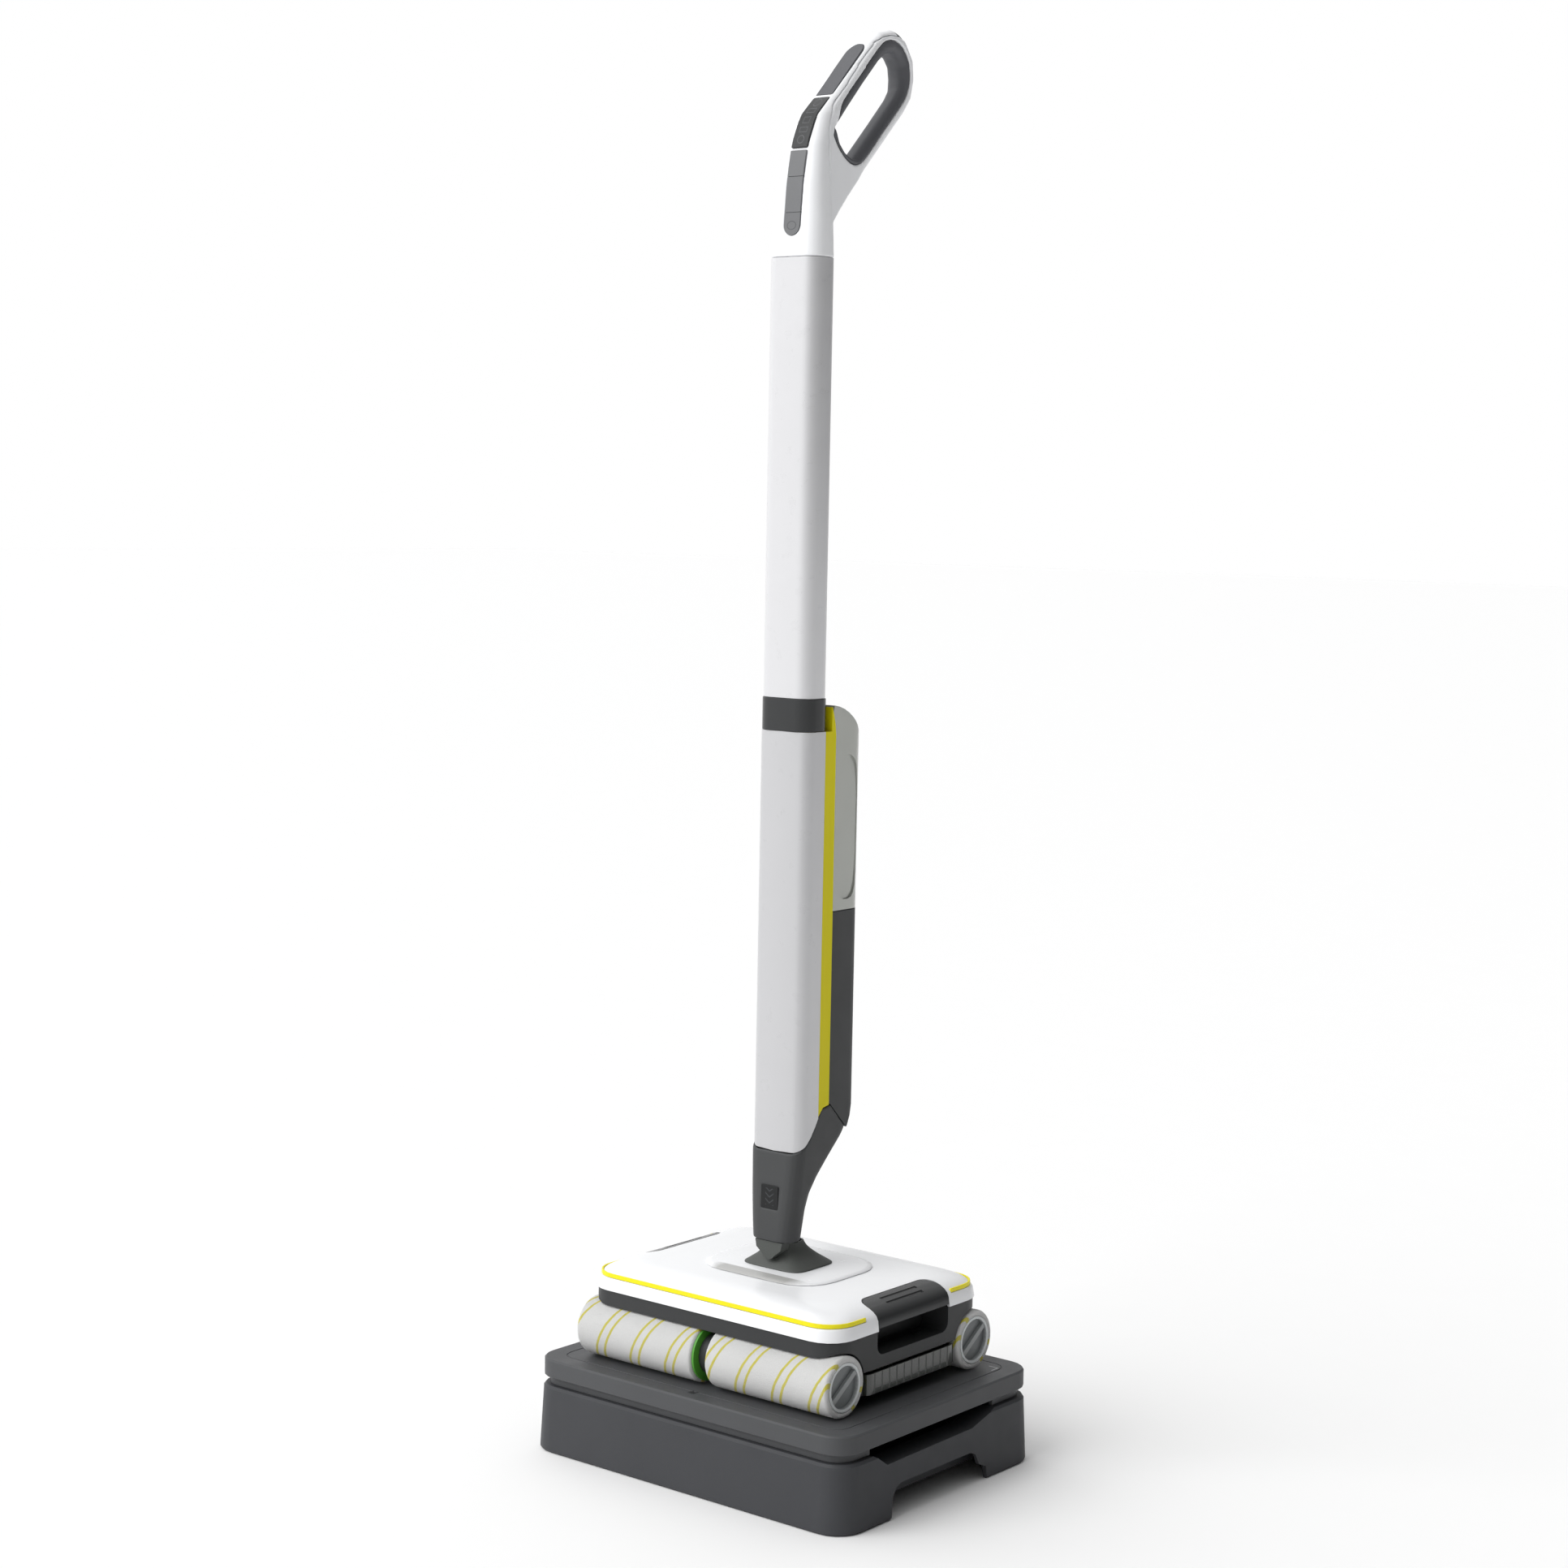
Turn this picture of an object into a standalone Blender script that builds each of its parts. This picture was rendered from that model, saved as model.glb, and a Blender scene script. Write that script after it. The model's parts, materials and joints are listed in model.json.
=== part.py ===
"""Wet dry floor scrubber standing on its storage and cleaning station.

Frame: +X to the right seen from the front, the front faces -Y, +Z up, and the origin is the centre of the
station's footprint on the floor. Lengths are in metres, except where a helper says millimetres.
"""
import math

import bmesh
import bpy
import numpy as np
from mathutils import Matrix, Vector

MM = 0.001
GAP = 0.3  # clearance between neighbouring pieces, millimetres

# Driving dimensions, millimetres
STATION = (187.0, 149.0)      # half width and half depth of the station's base
STATION_CORNER = 28.0
TUB_TOP = 62.0                # where the lid's neck rests
LID_SKIRT = 69.0              # lower edge of the lid
LID_FLOOR = 87.3              # what the rollers stand on
ROLLER_RADIUS = 28.0
ROLLER_REACH = 148.7          # outer end of a roller
AXLE_Y = 98.0                 # the two roller axles lie at plus and minus this
AXLE_Z = LID_FLOOR + GAP + ROLLER_RADIUS
SHAFT_RADIUS = 8.0
TANK = (148.0, 66.0)          # half width and half depth of the dirty-water tank
TANK_BOTTOM, TANK_TOP = 100.0, 119.0
HEAD = (148.0, 115.0)         # half width and half depth of the white cover
HEAD_CORNER = 28.0
CHASSIS_TOP = 155.3
COVER_BOTTOM, COVER_TOP = 155.6, 179.0
TILT_Y, TILT_Z = 3.0, 178.0   # axis about which the upright leans back
SWIVEL_Z = 197.0              # axis about which the upright leans sideways
HOUSING_BOTTOM = 207.1
FRONT_BOTTOM, FRONT_TOP = 286.0, 679.7
REAR_DEPTH = 70.0             # how far the rear housing and the fresh tank reach back
TANK_SEAM = 512.0             # between the rear housing and the fresh tank
FRESH_TOP = 703.0
COLLAR = (680.0, 709.7)
TUBE = (29.0, 18.0)           # half width and half depth of the upper tube
TUBE_Y = -3.0
TUBE_CORNER = 14.0
TUBE_TOP = 1105.7
HANDLE_BOTTOM, HANDLE_TOP = 1106.0, 1322.0
MOTOR = (45.0, 142.0)         # y and z of the drive motor's axis
GEAR_DISTANCE = 17.0


# ---------------------------------------------------------------- scene, bodies and finishes
def clear_scene():
    for old in list(bpy.data.objects):
        bpy.data.objects.remove(old)


def new_collection(name):
    made = bpy.data.collections.new(name)
    bpy.context.scene.collection.children.link(made)
    return made


clear_scene()
PARTS = new_collection("floor_scrubber")
CUTTERS = new_collection("cutters")
BODIES = {}


def body(name, pivot, parent=None):
    """An empty on a joint's axis, given in millimetres, which the pieces of that body hang from."""
    empty = bpy.data.objects.new("body_" + name, None)
    place = Vector(pivot) * MM
    if parent:
        empty.parent = BODIES[parent][0]
        empty.location = place - BODIES[parent][1]
    else:
        empty.location = place
    PARTS.objects.link(empty)
    BODIES[name] = (empty, place)


def finish(name, colour, roughness, metallic=0.0, alpha=1.0):
    made = bpy.data.materials.new(name)
    made.use_nodes = True
    shader = made.node_tree.nodes["Principled BSDF"]
    shader.inputs["Base Color"].default_value = (*colour, 1.0)
    shader.inputs["Roughness"].default_value = roughness
    shader.inputs["Metallic"].default_value = metallic
    shader.inputs["Alpha"].default_value = alpha
    return made


FINISHES = {
    "dark": finish("dark_plastic", (0.075, 0.078, 0.082), 0.5),
    "station": finish("station_plastic", (0.085, 0.088, 0.092), 0.6),
    "white": finish("white_gloss_plastic", (0.88, 0.89, 0.9), 0.25),
    "silver": finish("satin_silver", (0.7, 0.7, 0.71), 0.35, 0.6),
    "yellow": finish("yellow_plastic", (0.72, 0.66, 0.02), 0.4),
    "clear": finish("smoked_clear_plastic", (0.42, 0.44, 0.42), 0.15, 0.0, 0.75),
    "rubber": finish("soft_rubber", (0.07, 0.075, 0.072), 0.8),
    "fabric": finish("microfibre", (0.82, 0.82, 0.82), 0.95),
    "cap": finish("end_cap_grey", (0.28, 0.3, 0.31), 0.5),
    "green": finish("green_ring", (0.08, 0.32, 0.03), 0.45),
    "gloss": finish("dark_gloss_plastic", (0.05, 0.05, 0.053), 0.15),
    "steel": finish("steel", (0.6, 0.6, 0.62), 0.3, 1.0),
    "board": finish("circuit_board", (0.03, 0.2, 0.08), 0.5),
    "cell": finish("battery_wrap", (0.06, 0.12, 0.3), 0.4),
}


def add(name, mesh, look, owner):
    """Makes the named piece from a mesh in world metres, with its origin on its body's axis."""
    empty, place = BODIES[owner]
    mesh.transform(Matrix.Translation(-place))
    mesh.materials.clear()
    mesh.materials.append(FINISHES[look])
    mesh.shade_smooth()
    mesh.set_sharp_from_angle(angle=math.radians(35))
    made = bpy.data.objects.new(name, mesh)
    made.parent = empty
    PARTS.objects.link(made)
    return made


def helper_from(mesh, name):
    helper = bpy.data.objects.new(name, mesh)
    helper.hide_render = True
    helper.display_type = "WIRE"
    CUTTERS.objects.link(helper)
    return helper


def boolean(target, operation, *tools):
    """Adds one exact Boolean for each tool: a mesh in world metres, or a helper object."""
    for tool in tools:
        if isinstance(tool, bpy.types.Mesh):
            tool = helper_from(tool, f"{target.name}_{operation.lower()}")
        step = target.modifiers.new(operation.lower(), "BOOLEAN")
        step.operation = operation
        step.object = tool
    return target


def cut(target, *tools):
    return boolean(target, "DIFFERENCE", *tools)


def join(target, *tools):
    return boolean(target, "UNION", *tools)


def keep(target, *tools):
    return boolean(target, "INTERSECT", *tools)


def common(first, second, name):
    """A helper that holds what two meshes share."""
    return keep(helper_from(first, name), second)


# ---------------------------------------------------------------- shapes, all given in millimetres
def from_bmesh(work):
    bmesh.ops.recalc_face_normals(work, faces=work.faces)
    mesh = bpy.data.meshes.new("shape")
    work.to_mesh(mesh)
    work.free()
    return mesh


def box(low, high):
    low, high = Vector(low) * MM, Vector(high) * MM
    work = bmesh.new()
    size = Matrix.Diagonal((*(high - low), 1.0))
    bmesh.ops.create_cube(work, size=1.0, matrix=Matrix.Translation((low + high) / 2) @ size)
    return from_bmesh(work)


def rod(start, end, radius, sides=24, end_radius=None):
    """A cylinder, or a cone when end_radius is given, from start to end."""
    start, end = Vector(start) * MM, Vector(end) * MM
    along = end - start
    turn = Vector((0, 0, 1)).rotation_difference(along).to_matrix().to_4x4()
    work = bmesh.new()
    bmesh.ops.create_cone(
        work, cap_ends=True, segments=sides, radius1=radius * MM,
        radius2=(radius if end_radius is None else end_radius) * MM, depth=along.length,
        matrix=Matrix.Translation((start + end) / 2) @ turn,
    )
    return from_bmesh(work)


def evaluated_mesh(holder):
    """The holder's shape as a welded mesh; the holder itself is removed."""
    PARTS.objects.link(holder)
    bpy.context.view_layer.update()
    graph = bpy.context.evaluated_depsgraph_get()
    mesh = bpy.data.meshes.new_from_object(holder.evaluated_get(graph))
    bpy.data.objects.remove(holder)
    work = bmesh.new()
    work.from_mesh(mesh)
    bmesh.ops.remove_doubles(work, verts=work.verts, dist=1e-6)
    return from_bmesh(work)


def turned(profile, start, direction, steps=32):
    """A (radius, height) profile turned about the line through start along direction, outer side first."""
    mesh = bpy.data.meshes.new("profile")
    points = [(r * MM, 0.0, h * MM) for r, h in profile]
    edges = [(i, (i + 1) % len(points)) for i in range(len(points))]
    on_axis = profile[0][0] == 0 and profile[-1][0] == 0
    mesh.from_pydata(points, edges[:-1] if on_axis else edges, [])
    holder = bpy.data.objects.new("turned", mesh)
    screw = holder.modifiers.new("screw", "SCREW")
    screw.steps = screw.render_steps = steps
    screw.use_merge_vertices = True
    screw.merge_threshold = 1e-6
    made = evaluated_mesh(holder)
    turn = Vector((0, 0, 1)).rotation_difference(Vector(direction)).to_matrix().to_4x4()
    made.transform(Matrix.Translation(Vector(start) * MM) @ turn)
    return made


AXIS_FRAMES = {
    "X": Matrix(((0, 0, 1, 0), (1, 0, 0, 0), (0, 1, 0, 0), (0, 0, 0, 1))),
    "Y": Matrix(((1, 0, 0, 0), (0, 0, -1, 0), (0, 1, 0, 0), (0, 0, 0, 1))),
    "Z": Matrix.Identity(4),
}


def extruded(outline, low, high, axis="Z", holes=()):
    """A flat outline pushed from low to high along an axis: outlines are (x, y), (x, z) or (y, z)."""
    curve = bpy.data.curves.new("outline", "CURVE")
    curve.dimensions = "2D"
    curve.fill_mode = "BOTH"
    curve.extrude = (high - low) / 2 * MM
    for ring in (outline, *holes):
        spline = curve.splines.new("POLY")
        spline.points.add(len(ring) - 1)
        for point, (u, v) in zip(spline.points, ring):
            point.co = (u * MM, v * MM, 0.0, 1.0)
        spline.use_cyclic_u = True
    made = evaluated_mesh(bpy.data.objects.new("outline", curve))
    middle = (low + high) / 2 * MM * (-1 if axis == "Y" else 1)
    made.transform(AXIS_FRAMES[axis] @ Matrix.Translation((0, 0, middle)))
    return made


def rounded(half_x, half_y, radius, centre=(0.0, 0.0), steps=5):
    """Points round a rectangle with arcs at its corners."""
    points = []
    for quarter in range(4):
        sign_x = 1 if quarter in (0, 3) else -1
        sign_y = 1 if quarter < 2 else -1
        for step in range(steps + 1):
            angle = math.pi / 2 * (quarter + step / steps)
            points.append((
                centre[0] + sign_x * (half_x - radius) + radius * math.cos(angle),
                centre[1] + sign_y * (half_y - radius) + radius * math.sin(angle),
            ))
    return points


def arc(centre, radius, first, last, steps):
    """Points on an arc; the angles are in degrees."""
    angles = np.radians(np.linspace(first, last, steps + 1))
    return [(centre[0] + radius * math.cos(a), centre[1] + radius * math.sin(a)) for a in angles]


def smooth(points, spans=4):
    """A closed Catmull-Rom curve through the points."""
    knots = np.array(points, float)
    before, after, beyond = (np.roll(knots, shift, axis=0) for shift in (1, -1, -2))
    rows = []
    for t in np.linspace(0, 1, spans, endpoint=False):
        rows.append(0.5 * (2 * knots + (after - before) * t
                           + (2 * before - 5 * knots + 4 * after - beyond) * t ** 2
                           + (3 * knots - before - 3 * after + beyond) * t ** 3))
    return [tuple(p) for p in np.stack(rows, axis=1).reshape(-1, 2)]


def loft(levels):
    """Joins equal rings of points, each given as (outline, z), with flat ends."""
    work = bmesh.new()
    rings = [[work.verts.new(Vector((x, y, z)) * MM) for x, y in outline] for outline, z in levels]
    for low, high in zip(rings, rings[1:]):
        for i in range(len(low)):
            j = (i + 1) % len(low)
            work.faces.new((low[i], low[j], high[j], high[i]))
    work.faces.new(reversed(rings[0]))
    work.faces.new(rings[-1])
    return from_bmesh(work)


def belt_outline(first, first_radius, second, second_radius, steps=10):
    """The closed line drawn tight round two circles."""
    first, second = np.array(first), np.array(second)
    run = second - first
    heading = math.degrees(math.atan2(run[1], run[0]))
    lean = math.degrees(math.acos((first_radius - second_radius) / np.linalg.norm(run)))
    far = arc(second, second_radius, heading - lean, heading + lean, steps)
    near = arc(first, first_radius, heading + lean, heading + 360 - lean, steps)
    return far + near


# ---------------------------------------------------------------- bodies, each on its joint's axis
SIDES = {"left": -1, "right": 1}
AXLES = {"front": -AXLE_Y, "rear": AXLE_Y}
LATCH_PIN = (125.0, 170.5)    # x and z of a latch's hinge pin

body("station", (0, 0, 0))
body("lid", (0, 0, TUB_TOP), "station")
body("tank", (0, 0, TANK_BOTTOM), "lid")
body("head", (0, 0, CHASSIS_TOP), "tank")
for end, y in AXLES.items():
    body(f"{end}_axle", (0, y, AXLE_Z), "head")
    for side, sign in SIDES.items():
        body(f"{end}_roller_{side}", (sign * ROLLER_REACH, y, AXLE_Z), f"{end}_axle")
for side, sign in SIDES.items():
    body(f"latch_{side}", (sign * LATCH_PIN[0], 0, LATCH_PIN[1]), "head")
body("motor_spindle", (0, MOTOR[0], MOTOR[1]), "head")
body("reverser", (0, MOTOR[0] - GEAR_DISTANCE, MOTOR[1]), "head")
body("knuckle", (0, TILT_Y, TILT_Z), "head")
body("upright", (0, 0, SWIVEL_Z), "knuckle")
body("fresh_tank", (0, 23, 600), "upright")
body("tank_cap", (0, 22, 600), "fresh_tank")
body("mode_button", (0, -15, 1188), "upright")
body("power_button", (0, -21, 1135), "upright")


# ---------------------------------------------------------------- station
def station_ring(inset, z):
    half_x, half_y = STATION
    return rounded(half_x - inset, half_y - inset, STATION_CORNER - min(inset, 8)), z


def station_tub():
    tub = add("station_tub", loft([
        station_ring(1.5, 0), station_ring(0, 2), station_ring(3, TUB_TOP - 2.5),
        station_ring(5, TUB_TOP),
    ]), "station", "station")
    basin = extruded(rounded(160, 137, 20), 15, 90)
    under = extruded(rounded(182.5, 144.5, 24), -5, 12)
    cut(tub, basin, under)
    # hollow side walls, the foot arches and the dips for the hands below the lid
    arch = [(-78, -5), (-78, 0), (-75, 20), (-70, 27), (-63, 30), (42, 30), (50, 27), (56, 16),
            (66, 12), (68, 0), (68, -5)]
    dip = [(-104, 80), (-104, 64), (-96, 60), (-82, 50.5), (46, 52), (80, 61), (90, 64), (90, 80)]
    for sign in SIDES.values():
        wall = sorted((sign * 164.5, sign * 182.5))
        side = sorted((sign * 180, sign * 200))
        cut(tub, box((wall[0], -128, 8), (wall[1], 128, 46)),
            extruded(arch, *side, "X"),
            extruded(dip, *sorted((sign * 155, sign * 200)), "X"))


def station_lid():
    lid = add("station_lid", loft([
        station_ring(9, TUB_TOP + GAP), station_ring(9, LID_SKIRT), station_ring(4.2, LID_SKIRT + 1),
        station_ring(3.5, LID_SKIRT + 2), station_ring(3.5, LID_FLOOR - 1.5), station_ring(5, LID_FLOOR),
    ]), "station", "lid")
    hollow = extruded(rounded(174, 136, 18), TUB_TOP - 5, LID_FLOOR - 3)
    dips = [box((min(sign * 155, sign * 200), -100, 55), (max(sign * 155, sign * 200), 86, LID_SKIRT))
            for sign in SIDES.values()]
    cut(lid, hollow, *dips)
    groove = rounded(166, 128, 14, steps=3)
    inner = rounded(165, 127, 13, steps=3)
    cut(lid, extruded(groove, LID_FLOOR - 0.7, LID_FLOOR + 1, holes=[inner]))


# ---------------------------------------------------------------- dirty-water tank
CHANNEL = 7.4                 # half width of the slot that the gearbox stands in


def dirty_water_tank():
    half_x, half_y = TANK
    tray = add("dirty_water_tank", extruded(rounded(half_x, half_y, 5, steps=2), TANK_BOTTOM, TANK_TOP),
               "clear", "tank")
    for sign in SIDES.values():
        room = rounded((half_x - CHANNEL) / 2 - 2.1, half_y - 2, 4, (sign * (half_x + CHANNEL) / 2, 0), 2)
        cut(tray, extruded(room, TANK_BOTTOM + 2, TANK_TOP + 5))
    cut(tray, box((-CHANNEL, -90, TANK_BOTTOM + 2.5), (CHANNEL, 90, TANK_TOP + 5)))
    # vertical ribs moulded into the end walls
    for sign in SIDES.values():
        for step in range(-5, 6):
            x = sign * (half_x + 0.5)
            cut(tray, rod((x, step * 11, TANK_BOTTOM - 2), (x, step * 11, TANK_TOP + 2), 1.1, 8))
    lid = add("dirty_tank_lid", box((-half_x + 4, -58, TANK_TOP + GAP), (half_x - 4, 58, TANK_TOP + 1.8)),
              "dark", "tank")
    cut(lid, box((-CHANNEL, -70, 110), (CHANNEL, 2, 125)), box((-CHANNEL, 14, 110), (CHANNEL, 70, 125)))
    for end, sign in (("front", -1), ("rear", 1)):
        low, high = sorted((sign * (half_y + GAP), sign * (AXLE_Y - ROLLER_RADIUS - 0.4)))
        strip = add(f"{end}_scraper", box((-144, low, TANK_BOTTOM), (144, high, 117.5)), "rubber", "tank")
        cut(strip, box((-CHANNEL, low - 5, TANK_BOTTOM + 2.5), (CHANNEL, high + 5, 130)))


# ---------------------------------------------------------------- floor head
def gearbox_outlines(extra):
    """Side outlines of the two belt runs, grown by extra."""
    motor = MOTOR
    turner = (MOTOR[0] - GEAR_DISTANCE, MOTOR[1])
    return [belt_outline(motor, 11 + extra, (AXLE_Y, AXLE_Z), 15.5 + extra),
            belt_outline(turner, 11 + extra, (-AXLE_Y, AXLE_Z), 15.5 + extra)]


def chassis():
    half_x, half_y = HEAD[0] - 1.5, HEAD[1] - 1.5
    clear = ROLLER_RADIUS + 1.6
    lip = math.degrees(math.acos((half_y - AXLE_Y) / clear))
    inner = math.degrees(math.acos(28.9 / clear))
    rear = arc((AXLE_Y, AXLE_Z), clear, 180 - inner, lip, 12)
    front = [(-y, z) for y, z in reversed(rear)]
    profile = front + rear + [(half_y, CHASSIS_TOP), (-half_y, CHASSIS_TOP)]
    shell = add("chassis", extruded(profile, -half_x, half_x, "X"), "dark", "head")
    keep(shell, extruded(rounded(half_x, half_y, HEAD_CORNER - 2), 90, 170))
    cut(shell, extruded(rounded(113, 64, 10), 125, 170))
    for sign in SIDES.values():
        low, high = sorted((sign * 118, sign * 160))
        cut(shell, extruded(rounded(53.5, 25, 9, (3.5, 158)), low, high, "X"))
        cut(shell, box((min(sign * 20, sign * 110), -106, 149), (max(sign * 20, sign * 110), -70, 170)),
            box((min(sign * 20, sign * 110), 70, 149), (max(sign * 20, sign * 110), 106, 170)))
    for outline in gearbox_outlines(3.4):
        cut(shell, extruded(outline, -6, 6, "X"))
    # a stand with two ears for each latch's pin
    for sign in SIDES.values():
        near, far, beyond = sign * 113.5, sign * 128.4, sign * 140
        join(shell, box((min(near, far), -34, 150), (max(near, far), 40, 173.2)))
        cut(shell, box((min(sign * 117.5, beyond), -30.5, 158.5), (max(sign * 117.5, beyond), 36.5, 190)),
            box((min(sign * 118, far), -34.5, 130), (max(sign * 118, far), 40.5, 156)),
            rod((sign * LATCH_PIN[0], -60, LATCH_PIN[1]), (sign * LATCH_PIN[0], 60, LATCH_PIN[1]), 1.8, 12))


def gearbox_housing():
    rear, front = gearbox_outlines(3.0)
    case = add("gearbox_housing", extruded(rear, -5.5, 5.5, "X"), "dark", "head")
    join(case, extruded(front, -5.5, 5.5, "X"))
    rear, front = gearbox_outlines(0.6)
    cut(case, extruded(rear, -4, 4, "X"), extruded(front, -4, 4, "X"))
    for y in AXLES.values():
        cut(case, rod((-20, y, AXLE_Z), (20, y, AXLE_Z), SHAFT_RADIUS + GAP))
    for y in (MOTOR[0], MOTOR[0] - GEAR_DISTANCE):
        cut(case, rod((-20, y, MOTOR[1]), (20, y, MOTOR[1]), 3 + GAP, 16))


def gear_outline(teeth, root, tip):
    """A gear's outline with trapezoid teeth."""
    points = []
    for tooth in range(teeth):
        for share, radius in ((0.04, root), (0.30, tip), (0.52, tip), (0.78, root)):
            angle = 2 * math.pi * (tooth + share) / teeth
            points.append((radius * math.cos(angle), radius * math.sin(angle)))
    return points


def drive_train():
    motor_y, motor_z = MOTOR
    shape = rod((-78, motor_y, motor_z), (-9.5, motor_y, motor_z), 16, 32)
    motor = add("drive_motor", shape, "steel", "head")
    cut(motor, rod((-30, motor_y, motor_z), (0, motor_y, motor_z), 3.4, 16))
    teeth, tooth_middle, gap_middle = 14, 0.41, 0.91
    pitch = 2 * math.pi / teeth
    for name, owner, y, turn, start in (
        ("motor_gear", "motor_spindle", motor_y, math.pi - gap_middle * pitch, -28),
        ("reversing_gear", "reverser", motor_y - GEAR_DISTANCE, -tooth_middle * pitch, -5.3),
    ):
        wheel = [(y + u * math.cos(turn) - v * math.sin(turn),
                  motor_z + u * math.sin(turn) + v * math.cos(turn))
                 for u, v in gear_outline(teeth, 7.4, 9.2)]
        gear = add(name, extruded(wheel, -3.6, -0.5, "X"), "steel", owner)
        join(gear, rod((-1, y, motor_z), (3.7, y, motor_z), 5.8, 20),
             rod((start, y, motor_z), (5.3, y, motor_z), 3, 16))
    for end, y in AXLES.items():
        shaft = add(f"{end}_drive_shaft", rod((-72, y, AXLE_Z), (72, y, AXLE_Z), SHAFT_RADIUS, 24),
                    "steel", f"{end}_axle")
        join(shaft, rod((0.3, y, AXLE_Z), (3.7, y, AXLE_Z), 12, 32))
        pulley_y = motor_y if end == "rear" else motor_y - GEAR_DISTANCE
        first, second = (pulley_y, motor_z), (y, AXLE_Z)
        loop = extruded(belt_outline(first, 7.6, second, 13.8), 0.7, 3.4, "X",
                        holes=[belt_outline(first, 6.2, second, 12.4)])
        add(f"{end}_belt", loop, "rubber", "head")


INNER_FACE = 5.9              # where a roller's inner end stops, beside the gearbox


def rollers():
    """Core, fabric sleeve and, on the left ones, the coloured ring that tells the sides apart."""
    core_start = 8.6
    for end, y in AXLES.items():
        for side, sign in SIDES.items():
            owner = f"{end}_roller_{side}"
            inner, out = (0, y, AXLE_Z), (sign, 0, 0)
            face = ROLLER_REACH
            core_end = core_start if side == "left" else INNER_FACE
            core = add(f"{end}_roller_core_{side}", turned([
                (0, face - 4.5), (19, face - 4.5), (19.5, face - 0.6), (22.0, face - 0.3), (22.2, face - 1),
                (22.2, core_end), (SHAFT_RADIUS + GAP, core_end), (SHAFT_RADIUS + GAP, 76), (0, 76),
            ], inner, out, 32), "cap", owner)
            join(core, grip_bar(sign, y))
            add(f"{end}_roller_sleeve_{side}", turned([
                (ROLLER_RADIUS, face - 2), (ROLLER_RADIUS, core_start + 1), (ROLLER_RADIUS - 1, core_start),
                (22.5, core_start), (22.5, face - 0.8), (ROLLER_RADIUS - 1.5, face - 0.8),
            ], inner, out, 32), "fabric", owner)
            if side == "left":
                add(f"{end}_roller_ring", turned([
                    (25.5, core_start - GAP), (25.5, INNER_FACE), (SHAFT_RADIUS + 2, INNER_FACE),
                    (SHAFT_RADIUS + 2, core_start - GAP),
                ], inner, out, 32), "green", owner)


def grip_bar(sign, y):
    """The slanted bar across a roller's end cap that the fingers pull."""
    low, high = sorted((sign * (ROLLER_REACH - 5), sign * (ROLLER_REACH - 1.2)))
    slope = math.radians(35)
    along = (math.cos(slope), math.sin(slope))
    corners = [(y + a * along[0] - b * along[1], AXLE_Z + a * along[1] + b * along[0])
               for a, b in ((-19, -2.6), (19, -2.6), (19, 2.6), (-19, 2.6))]
    return extruded(corners, low, high, "X")


def cover_inset(z):
    """How far the white cover's outline has drawn in at height z: upright sides that roll over to the top."""
    roll = (z - 165.0) / (COVER_TOP - 165.0)
    side = 0.12 * (z - COVER_BOTTOM)
    return side + (34 * (1 - math.sqrt(max(0.0, 1 - roll ** 2))) if roll > 0 else 0.0)


def cover_solid(inset, bottom=COVER_BOTTOM, drop=0.0):
    """The cover's outer form, shrunk by inset and lowered by drop, from bottom to its crown."""
    levels = []
    for z in (bottom, 160, 165, 169, 172, 174.5, 176.5, 178, COVER_TOP - 0.25, COVER_TOP):
        draw = cover_inset(max(z, COVER_BOTTOM)) + inset
        levels.append((rounded(HEAD[0] - draw, HEAD[1] - draw, HEAD_CORNER), z - drop if z > 160 else z))
    return loft(levels)


def end_path(grow, z, limit):
    """The cover's outline at height z round its front or rear end, as far as y = limit on both sides."""
    half_x = HEAD[0] - cover_inset(z) + grow
    half_y = HEAD[1] - cover_inset(z) + grow
    radius = HEAD_CORNER + grow
    way = 1 if limit > 0 else -1
    right = arc((half_x - radius, way * (half_y - radius)), radius, 0, way * 90, 6)
    left = arc((radius - half_x, way * (half_y - radius)), radius, way * 90, way * 180, 6)
    return [(half_x, limit), *right, *left, (-half_x, limit)]


def stripe_band(limit, out, depth, low, high):
    """A band round the end of the cover beyond y = limit, standing out proud of it and sunk depth into it."""
    middle = (low + high) / 2
    outline = end_path(out, middle, limit) + end_path(-depth, middle, limit)[::-1]
    return extruded(outline, low, high)


BOOT_HOLE = (30.0, 4.0, 27.0)  # half width, centre y and half depth of the opening round the joint
LATCH_SPAN = (-50.0, 57.0)


def latch_outline(sign, extra):
    """A latch seen from above: rounded corners inward, and open past the cover's side."""
    low, high = LATCH_SPAN
    half_x = 160 - 122 + extra
    return rounded(half_x, (high - low) / 2 + min(extra, GAP), 14, (sign * 160, (low + high) / 2), 6)


def surface_height(x):
    """The cover's height at x, away from its front and rear ends."""
    heights = np.linspace(COVER_BOTTOM, COVER_TOP, 400)
    return float(np.interp(-abs(x), [cover_inset(z) - HEAD[0] for z in heights], heights))


def cover():
    shell = add("head_cover", cover_solid(0), "white", "head")
    cut(shell, cover_solid(2.6, COVER_BOTTOM - 5, 2.6))
    half_x, centre, half_y = BOOT_HOLE
    cut(shell, extruded(rounded(half_x, half_y, 12, (0, centre), 3), 170, 200))
    for sign in SIDES.values():
        cut(shell, extruded(latch_outline(sign, 1.5), 150, 190))
    for name, limit in (("front_stripe", -66), ("rear_stripe", 62)):
        nearer = limit - math.copysign(GAP, limit)
        cut(shell, stripe_band(nearer, 3, 1.6, 167, 171.4))
        add(name, stripe_band(limit, 0.5, 1.3, 167.3, 171.1), "yellow", "head")


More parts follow.
